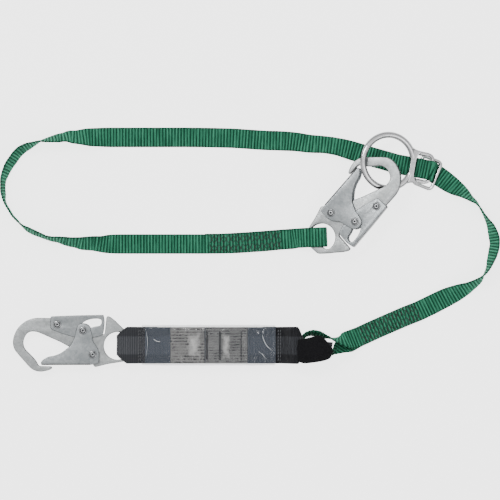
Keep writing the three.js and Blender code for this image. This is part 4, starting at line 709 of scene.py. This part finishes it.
def hook(h):
    M = HOOKS[h]
    body = plate(h + "_body_forging", [round_corners(BODY, 1.3, 3), round_corners(EYE, 1.2, 2), circle(GATE_PIVOT, 2.8), circle(LOCK_PIVOT, 2.8)], -3.25, 3.25, 1.15, ZINC, M, 4, ZINC_EDGE_SHADE)
    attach(body, h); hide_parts(h + "_body")
    g = [plate("g", [round_corners(GATE, 1.2, 2)], a, b, 0.58, ZINC_B, M, 3, ZINC_EDGE_SHADE) for a, b in ((5.4, 6.9), (-6.9, -5.4))]
    g.append(plate("g", [round_corners([(-37.0, -26.3), (22.2, -26.3), (22.2, -24.7), (-37.0, -24.7)], 0.5, 1)], -6.6, 6.6, 0.3, ZINC_B, M, 2))
    # painted shade: thin near-black strips along the gate web's lower bend, standing for the shaded line between plate
    # and web
    g += [plate("g", [[(-36.4, -26.35), (21.9, -26.35), (21.9, -25.0), (-36.4, -25.0)]], a, b, 0.02, GAP_AND_RECESS_SHADE, M, 1) for a, b in ((6.86, 6.96), (-6.96, -6.86))]
    gate = join(h + "_gate_channel", g); sharp(gate, 42)
    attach(gate, h + "_gate"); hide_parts(h + "_gate")
    l = [plate("l", [round_corners(LOCK, 1.2, 2), round_corners(slot_outline(), 0.8, 2), circle(LOCK_PIVOT, 2.8)], a, b, 0.58, ZINC_B, M, 3, ZINC_EDGE_SHADE) for a, b in ((3.6, 5.1), (-5.1, -3.6))]
    l.append(plate("l", [round_corners(LOCK_WEB, 0.5, 1)], -4.9, 4.9, 0.3, ZINC_B, M, 2))
    lock = join(h + "_lock_channel", l); sharp(lock, 42)
    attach(lock, h + "_lock"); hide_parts(h + "_lock_lever")
    def rivet(name, c, h0, h1, body_name, node):
        R = 4.75
        cap = [(0, h1 - 0.75), (0.7, h1 - 0.72), (1.15, h1 - 0.12), (1.5, h1), (2.3, h1 - 0.1), (2.9, h1 - 0.38), (3.15, h1 - 0.85), (3.4, h1 - 0.92), (3.65, h1 - 0.6), (4.2, h1 - 0.7), (R - 0.1, h1 - 1.0), (R, h1 - 1.25), (R, h0 + 0.12), (R - 0.12, h0), (2.5, h0)]
        prof = cap + [(r, -z) for r, z in cap[::-1]]
        o = lathe(name, prof, c, RIVET, M)
        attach(o, body_name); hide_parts(node)
    rivet(h + "_gate_pin", GATE_PIVOT, 7.1, 8.75, h, h + "_gate_rivet")
    rivet(h + "_latch_pin", LATCH_PIN, 7.1, 8.75, h + "_gate", h + "_latch_rivet")
    rivet(h + "_lock_pin", LOCK_PIVOT, 5.3, 6.95, h, h + "_lock_rivet")
    for n in ("_gate_spring", "_lock_spring"):
        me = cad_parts[h + n].data
        me.materials.clear(); me.materials.append(SPRING)


for h in HOOKS:
    hook(h)

# ------------------------------------------------------------------ tie-back ring and keeper
def smooth(x, a, b):
    t = min(1, max(0, (x - a) / (b - a)))
    return t * t * (3 - 2 * t)


def blended(name, objs, voxel, smooth, mat, body, node):
    o = join(name, objs)
    md = o.modifiers.new("r", "REMESH"); md.mode = "VOXEL"; md.voxel_size = voxel * MM
    ms = o.modifiers.new("s", "SMOOTH"); ms.iterations = smooth; ms.factor = 0.5
    dg = bpy.context.evaluated_depsgraph_get()
    me = bpy.data.meshes.new_from_object(o.evaluated_get(dg))
    o.modifiers.clear()
    old = o.data
    o.data = me
    bpy.data.meshes.remove(old)
    me.materials.clear(); me.materials.append(mat)
    me.polygons.foreach_set("use_smooth", [True] * len(me.polygons))
    me.name = name
    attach(o, body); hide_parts(node)
    return o


RT = 18.2 * D
FZ, FE, FH = 9.8, 52.6, 16.6
ZC = FZ + 32 * math.sin(RT)
MR = Matrix.Translation(Vector(((388 - 250) * 1.2 + OX, (250 - 161.6) * 1.2 + OY, 0)) * MM) @ Matrix.Rotation(-10 * D, 4, "Z")
circ = [(32 * math.cos(a) * math.cos(RT), 32 * math.sin(a), ZC - 32 * math.cos(a) * math.sin(RT)) for a in (2 * math.pi * i / 120 for i in range(120))]
torus = tube("t", circ, 3.72, POLISH, 24, True, MR)


def tl(p, v):
    return (p * math.cos(RT), v, ZC - p * math.sin(RT))


half = [tl(18.2, 26.4), tl(22.6, 23.4), tl(25.4, 20.4), (28.6, 18.2, FZ + 0.9), (34, 17.0, FZ + 0.1), (40, FH, FZ), (FE - 6, FH, FZ), (FE - 2.4, FH - 1.1, FZ), (FE - 0.5, FH - 3.2, FZ), (FE, FH - 6, FZ)]
side = half + [(a, -b, c) for a, b, c in half[::-1]]
NF = len(catmull(side, 6))
frame_bar = tube("f", catmull(side, 6), 2.25, POLISH, 16, False, MR, rr=lambda i, q: 2.25 + 0.55 * smooth(abs(i - (NF - 1) / 2), 18, 28) + 0.5 * (1 - smooth(min(i, NF - 1 - i) / 6, 1.0, 4.0)))
IH = [(26.9, 0), (26.8, 6), (26.4, 11), (24.9, 15.5), (23.6, 19.0), (31.5, 19.0), (38.0, 18.4), (36.0, 15.6), (34.2, 13.0), (33.5, 9.0), (33.4, 0)]
ibar = IH[::-1] + [(a, -b) for a, b in IH[1:-1]]
bar = plate("b", [ibar], FZ - 2.4, FZ + 3.95, 0.7, POLISH, MR, 2)
webs = [tube("w", [tl(26.5, sg * 17.6), (30.2, sg * 16.4, FZ + 0.5), (33.2, sg * 15.4, FZ + 0.1)], 2.1, POLISH, 12, False, MR) for sg in (1, -1)]
blended("tie_back_ring_forging", [torus, frame_bar, bar] + webs, 0.42, 5, POLISH, "ring", "tie_back_ring")

MK = Matrix.Translation(Vector(((418.4 - 250) * 1.2 + OX, (250 - 168.7) * 1.2 + OY, 2.2)) * MM) @ Matrix.Rotation(-22 * D, 4, "Z") @ Matrix.Rotation(-math.atan2(2.75, 23.95), 4, "Y")
a_, b_, r_ = 23.95, 17.35, 4.5
kp = []
for cx, cy, s in ((a_ - r_, b_ - r_, 0), (r_, b_ - r_, 90), (r_, -b_ + r_, 180), (a_ - r_, -b_ + r_, 270)):
    for k in range(9):
        q = (s + 90 * k / 8) * D
        kp.append((cx + r_ * math.cos(q), cy + r_ * math.sin(q), 0))
keep = tube("keeper_wire_link", kp, 2.14, POLISH, 20, True, MK)
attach(keep, "keeper"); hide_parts("keeper_link")

# ------------------------------------------------------------------ webbing loops
PY = (250 - 345.3) * 1.2 + OY


def X(px):
    return (px - 250) * 1.2 + OX


def band_sheet(name, line, width_at, mat, thick, nu=26, step=1.1, wr=0.0, seed=0.0, body="root", node=None, centre_at=None):
    """webbing band: a line in XZ swept across Y with its own width, edges and wrinkles"""
    L = np.array(catmull([(a, 0, b) for a, b in line], 10))
    ac = np.concatenate([[0], np.cumsum(np.linalg.norm(np.diff(L, axis=0), axis=1))])
    n = int(ac[-1] / step)
    verts, uv, faces = [], [], []
    m = 2 * nu
    for i in range(n + 1):
        s = ac[-1] * i / n
        p = np.array([np.interp(s, ac, L[:, k]) for k in range(3)])
        a = np.array([np.interp(max(0, s - 0.8), ac, L[:, k]) for k in range(3)])
        b = np.array([np.interp(min(ac[-1], s + 0.8), ac, L[:, k]) for k in range(3)])
        t = (b - a) / np.linalg.norm(b - a)
        nn = np.array([-t[2], 0, t[0]])
        w = width_at(p[0]) / 2
        c = centre_at(p[0]) if centre_at else PY
        rib = 0.05 * math.cos(2 * math.pi * s / 1.7)
        for side_ in (1, -1):
            for k in range(nu):
                v = -1 + 2 * k / (nu - 1)
                if side_ < 0:
                    v = -v
                e = max(0.0, (abs(v) - 0.92) / 0.08)
                h = thick / 2 * (1 - 0.5 * e * e) + rib
                q = Vector((p[0] * 0.11, v * w * 0.16, s * 0.05 + seed))
                off = wr * (noise.noise(q) + 0.5 * noise.noise(q * 2.3))
                verts.append(Vector((p[0] + nn[0] * (side_ * h + off), c + v * w, p[2] + nn[2] * (side_ * h + off))) * MM)
                uv.append((s, v * w + (0 if side_ > 0 else 60)))
    for i in range(n):
        for k in range(m):
            l = (k + 1) % m
            faces.append((i * m + k, (i + 1) * m + k, (i + 1) * m + l, i * m + l))
    faces.append(tuple(range(m))); faces.append(tuple(n * m + k for k in range(m))[::-1])
    o = obj_from(name, verts, faces, mat, uv=uv)
    fix_normals(o)
    if body:
        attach(o, body)
    if node:
        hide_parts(node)
    return o, L


def arcp(cx, cy, r, a0, a1, n):
    return [(cx + r * math.cos((a0 + (a1 - a0) * i / n) * D), cy + r * math.sin((a0 + (a1 - a0) * i / n) * D)) for i in range(n + 1)]


c0, h0 = 8.8, 7.6
leg = [(X(157), c0 + 1.4), (X(148), c0 + 1.45), (X(142.5), c0 + 1.7), (X(138), c0 + h0 - 2.2), (X(133), c0 + h0)]
fl = leg + arcp(X(123.5), c0, h0, 90, 270, 10) + [(a, 2 * c0 - b) for a, b in leg[::-1]]
front, FL = band_sheet("front_loop_webbing", fl, lambda x: 24.4 + 19.6 * min(1, max(0, (x - X(117.6)) / (X(126.5) - X(117.6)))) ** 0.8, BLACK_F, 2.0, wr=0.25, seed=3, body=None, node="front_web_loop")
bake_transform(front)

up = [(X(263), 10.3), (X(277), 10.8), (X(283), 14.0), (X(290), 22.0), (X(296), 27.1), (X(299.5), 28.0), (X(308), 28.05), (X(319), 28.0)]
lo = [(X(319), 1.15), (X(308), 1.15), (X(296), 1.15), (X(288), 1.9), (X(281), 5.2), (X(277), 7.3), (X(263), 7.7)]
rl = up + arcp(X(320.3), 14.57, 13.43, 75, -75, 8) + lo
YR = (250 - 346.4) * 1.2 + OY
rear, RL = band_sheet("rear_loop_webbing", rl, lambda x: 44.0 - 27.0 * smooth(x, X(297.5), X(305)) - 7.0 * smooth(x, X(306), X(332)), BLACK, 2.0, wr=1.25, seed=11, node="rear_web_loop",
                      centre_at=lambda x: PY + (YR - PY) * smooth(x, X(297), X(306)))

# wear pad: soft sheet laid over the loop
padline = [(297.4, 339.1), (303.2, 338.5), (311, 336.6), (319.7, 334.7), (324.8, 338.5), (329.2, 343.8), (333.2, 349.5), (332, 354), (330.2, 358.3), (322.9, 360.9), (313, 362.4), (303.8, 363.4), (297.8, 361.5), (296.6, 350)]
pl = [(X(a), (250 - b) * 1.2 + OY) for a, b in padline]
bmp = bmesh.new()
pad0 = plate("wear_pad_cover", [round_corners(pl, 2.0, 3)], 29.6, 31.0, 0.55, PAD, Matrix.Identity(4), 3)
bmp.from_mesh(pad0.data)
bmesh.ops.triangulate(bmp, faces=bmp.faces)
for _ in range(3):
    bmesh.ops.subdivide_edges(bmp, edges=[e for e in bmp.edges if e.calc_length() > 0.0028], cuts=1, use_grid_fill=False)
    bmesh.ops.triangulate(bmp, faces=bmp.faces)
for v in bmp.verts:
    x, y = v.co.x / MM, v.co.y / MM
    dz = -2.2 * smooth(x, X(318), X(334)) - 0.9 * smooth(abs(y - PY + 4), 9, 17) + 0.7 * noise.noise(Vector((x * 0.13, y * 0.13, 2.0)))
    v.co.z += dz * MM
bmp.to_mesh(pad0.data); bmp.free()
sharp(pad0, 60)
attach(pad0, "root"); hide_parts("wear_pad")

# ------------------------------------------------------------------ shock pack
def ribbon_xz(name, line, width, mat, thick, node=None, wr=0.1, seed=0.0):
    return band_sheet(name, line, lambda x: width, mat, thick, wr=wr, seed=seed, node=node, nu=14, step=1.0)[0]


x0, x1, pt = X(162), X(258), 2.5
zig = []
for i in range(6):
    z = 2.3 + i * pt
    b_end = x0 if i % 2 else x1
    if i == 0:
        zig.append((x0, z))
    zig += [((x0 * 3 + x1) / 4 if i % 2 == 0 else (x0 + x1 * 3) / 4, z), ((x0 + x1 * 3) / 4 if i % 2 == 0 else (x0 * 3 + x1) / 4, z)]
    if i < 5:
        zig += arcp(b_end, z + pt / 2, pt / 2, -90, 90 if i % 2 == 0 else -270, 4)
    else:
        zig.append((b_end, z))
ribbon_xz("tear_webbing_folds", zig, 42.6, SLATE, 2.0, "tear_webbing")
tw, _ = band_sheet("tear_webbing_wrap", [(X(275.5), 10.6 + 1.9), (X(270), 14.2), (X(262), 15.9), (X(240), 15.5), (X(210), 15.4), (X(180), 15.5), (X(160), 15.9), (X(151), 14.4), (X(145), 12.9)], lambda x: 43.6, SLATE, 1.2, wr=0.5, seed=5, nu=20)


def flat_label(name, xa, xb, ya, yb, z, t, mat, node=None, wr=0.35, seed=0.0):
    nx, ny = max(4, int((xb - xa) / 1.2)), max(4, int((yb - ya) / 1.2))
    verts, faces = [], []
    for side_ in (1, 0):
        for i in range(nx + 1):
            for j in range(ny + 1):
                x, y = xa + (xb - xa) * i / nx, ya + (yb - ya) * j / ny
                q = Vector((x * 0.10, y * 0.10, seed))
                zz = z + wr * noise.noise(q) + 0.25 * wr * noise.noise(q * 3) + (t if side_ else 0)
                verts.append(Vector((x, y, zz)) * MM)
    k = (nx + 1) * (ny + 1)
    idx = lambda i, j, s: s * k + i * (ny + 1) + j
    for i in range(nx):
        for j in range(ny):
            faces.append((idx(i, j, 0), idx(i + 1, j, 0), idx(i + 1, j + 1, 0), idx(i, j + 1, 0)))
            faces.append((idx(i, j, 1), idx(i, j + 1, 1), idx(i + 1, j + 1, 1), idx(i + 1, j, 1)))
    for i in range(nx):
        faces.append((idx(i, 0, 0), idx(i, 0, 1), idx(i + 1, 0, 1), idx(i + 1, 0, 0)))
        faces.append((idx(i, ny, 0), idx(i + 1, ny, 0), idx(i + 1, ny, 1), idx(i, ny, 1)))
    for j in range(ny):
        faces.append((idx(0, j, 0), idx(0, j + 1, 0), idx(0, j + 1, 1), idx(0, j, 1)))
        faces.append((idx(nx, j, 0), idx(nx, j, 1), idx(nx, j + 1, 1), idx(nx, j + 1, 0)))
    o = obj_from(name, verts, faces, mat)
    fix_normals(o)
    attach(o, "root")
    if node:
        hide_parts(node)
    return o


yl, yh = PY - 21.6, PY + 21.6
flat_label("rating_label_sheet", X(170.5), X(204.5), yl, yh, 16.3, 0.35, LABEL, "rating_label", 0.3, 1)
flat_label("inspection_booklet_pages", X(205.5), X(247.5), yl, yh, 16.3, 0.6, LABEL_B, "inspection_booklet", 0.3, 4)
for k, (a, b) in enumerate(((206.0, 208.1), (219.0, 220.9), (240.6, 241.6))):
    flat_label("label_rule_%d" % k, X(a), X(b), PY - 17.5, PY + 16.5, 17.05, 0.17, DARK_INK, None, 0.3, 4)


def sleeve():
    nx, npn = 170, 150
    xa, xb = X(141.6), X(275.6)
    verts, faces = [], []
    hw, hh, zc = 24.5, 9.35, 9.55
    def pos(i, k, inset):
        u = i / nx
        x = xa + (xb - xa) * u
        a = 2 * math.pi * k / npn
        ca, sa = math.cos(a), math.sin(a)
        ex = 0.30
        y = math.copysign(abs(ca) ** ex, ca) * (hw - inset)
        z = math.copysign(abs(sa) ** 0.42, sa) * (hh - inset)
        end = min(u, 1 - u) * (xb - xa)
        taper = math.exp(-end / 7.0)
        z *= 1 - 0.16 * taper
        y *= 1 - 0.02 * taper
        n1 = noise.noise(Vector((x * 0.055, a * 2.1, 1.3)))
        n2 = noise.noise(Vector((x * 0.16, y * 0.12, z * 0.1 + 7)))
        n3 = noise.noise(Vector((x * 0.40, y * 0.33, 3.1)))
        ridge = (1 - abs(noise.noise(Vector((x * 0.09, y * 0.05, 9.7)))) * 2)
        off = 0.8 * n1 + 0.75 * n2 + 0.32 * n3 + 0.9 * max(0, ridge - 0.5)
        # pull-in at the ends of the labels, where the film dips between the folds
        for c, wd, dp in ((X(170.5), 3.0, 1.1), (X(247), 3.0, 1.0), (X(257), 2.6, 0.9)):
            off -= dp * math.exp(-((x - c) / wd) ** 2) * (0.7 + 0.5 * n1)
        if sa > 0.3:
            z += off
            z = max(z, 17.9 - zc)if X(171) < x < X(247) else z
        elif sa < -0.3:
            z += 0.25 * off
        y += 0.45 * n2 * abs(ca) + 0.5 * n1 * abs(ca)
        zz = max(0.05 + inset, zc + z)
        return Vector((x, PY + y, min(zz, 20.3 - inset)))
    for inset in (0.0, 0.45):
        for i in range(nx + 1):
            for k in range(npn):
                verts.append(pos(i, k, inset) * MM)
    K = (nx + 1) * npn
    for i in range(nx):
        for k in range(npn):
            l = (k + 1) % npn
            faces.append((i * npn + k, (i + 1) * npn + k, (i + 1) * npn + l, i * npn + l))
            faces.append((K + i * npn + k, K + i * npn + l, K + (i + 1) * npn + l, K + (i + 1) * npn + k))
    for i in (0, nx):
        for k in range(npn):
            l = (k + 1) % npn
            f = (i * npn + k, i * npn + l, K + i * npn + l, K + i * npn + k)
            faces.append(f if i == 0 else f[::-1])
    o = obj_from("shrink_sleeve_film", verts, faces, FILM)
    fix_normals(o)
    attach(o, "root"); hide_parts("shrink_sleeve")
    return o


sleeve()

# painted highlights along film creases: pale, nearly opaque tubes laid where the film has pulled tight over the folds
CREASE_HIGHLIGHT_PAINT = Mat("film_crease", (0.72, 0.75, 0.78), 0.2)
CREASE_HIGHLIGHT_PAINT.b.inputs["Alpha"].default_value = 0.85
CREASE_HIGHLIGHT_PAINT.color(CREASE_HIGHLIGHT_PAINT.ramp(CREASE_HIGHLIGHT_PAINT.noise(160, 3), [(0.35, (0.45, 0.48, 0.52)), (0.65, (0.92, 0.94, 0.96))]))
CREASE_HIGHLIGHT_PAINT = CREASE_HIGHLIGHT_PAINT.m


def crease(name, pts, r, z=18.75):
    line = catmull([(X(a), (250 - b) * 1.2 + OY, z) for a, b in pts], 8)
    n = len(line)
    o = tube(name, line, r, CREASE_HIGHLIGHT_PAINT, 8, rr=lambda i, q: r * (0.25 + 0.75 * math.sin(math.pi * (i + 0.5) / n)) * (0.5 + 0.5 * abs(math.cos(q))))
    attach(o, "root")


crease("film_crease_highlight_long", [(262.2, 334.5), (264.2, 341), (267.5, 346.5), (272.2, 350.2)], 0.75)
crease("film_crease_highlight_short", [(153.4, 338.8), (156.6, 341.0), (160.5, 341.6)], 0.8)
crease("film_crease_highlight_low", [(258.6, 351.6), (262.4, 354.2), (265.6, 358.5)], 0.5)
crease("film_crease_highlight_left", [(146.5, 331.5), (147.6, 343.0), (146.3, 356.0)], 0.35)


def stitch_dashes(name, line, xs, wid, mat, top=1, n=11):
    """rows of pale lock stitches across a webbing band"""
    parts = []
    L = line
    for x in xs:
        k = int(np.argmin(abs(L[: len(L) // 2, 0] - x)))
        z = L[k][2] + 1.12
        sl = (L[k + 1][2] - L[k - 1][2]) / (L[k + 1][0] - L[k - 1][0] + 1e-9)
        for j in range(n):
            y = PY - wid / 2 + wid * (j + 0.5) / n
            pts = [(x - 0.5, y - 1.25, z - 0.25 - 0.5 * sl), (x - 0.2, y - 0.7, z - 0.2 * sl + 0.1), (x + 0.2, y + 0.7, z + 0.2 * sl + 0.1), (x + 0.5, y + 1.25, z - 0.25 + 0.5 * sl)]
            parts.append(tube("d", catmull(pts, 3), 0.36, mat, 6))
    o = join(name, parts)
    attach(o, "root")
    return o


stitch_dashes("front_loop_stitching", FL, (X(138.9), X(140.6)), 38, THREAD_LT, n=10)
stitch_dashes("rear_loop_stitching", RL, (X(278.3), X(280.4)), 38, THREAD_LT, n=10)

# ------------------------------------------------------------------ floor
fl_o = obj_from("floor", [(-6, -6, -0.0002), (6, -6, -0.0002), (6, 6, -0.0002), (-6, 6, -0.0002)], [(0, 1, 2, 3)], FLOOR, smooth=False)
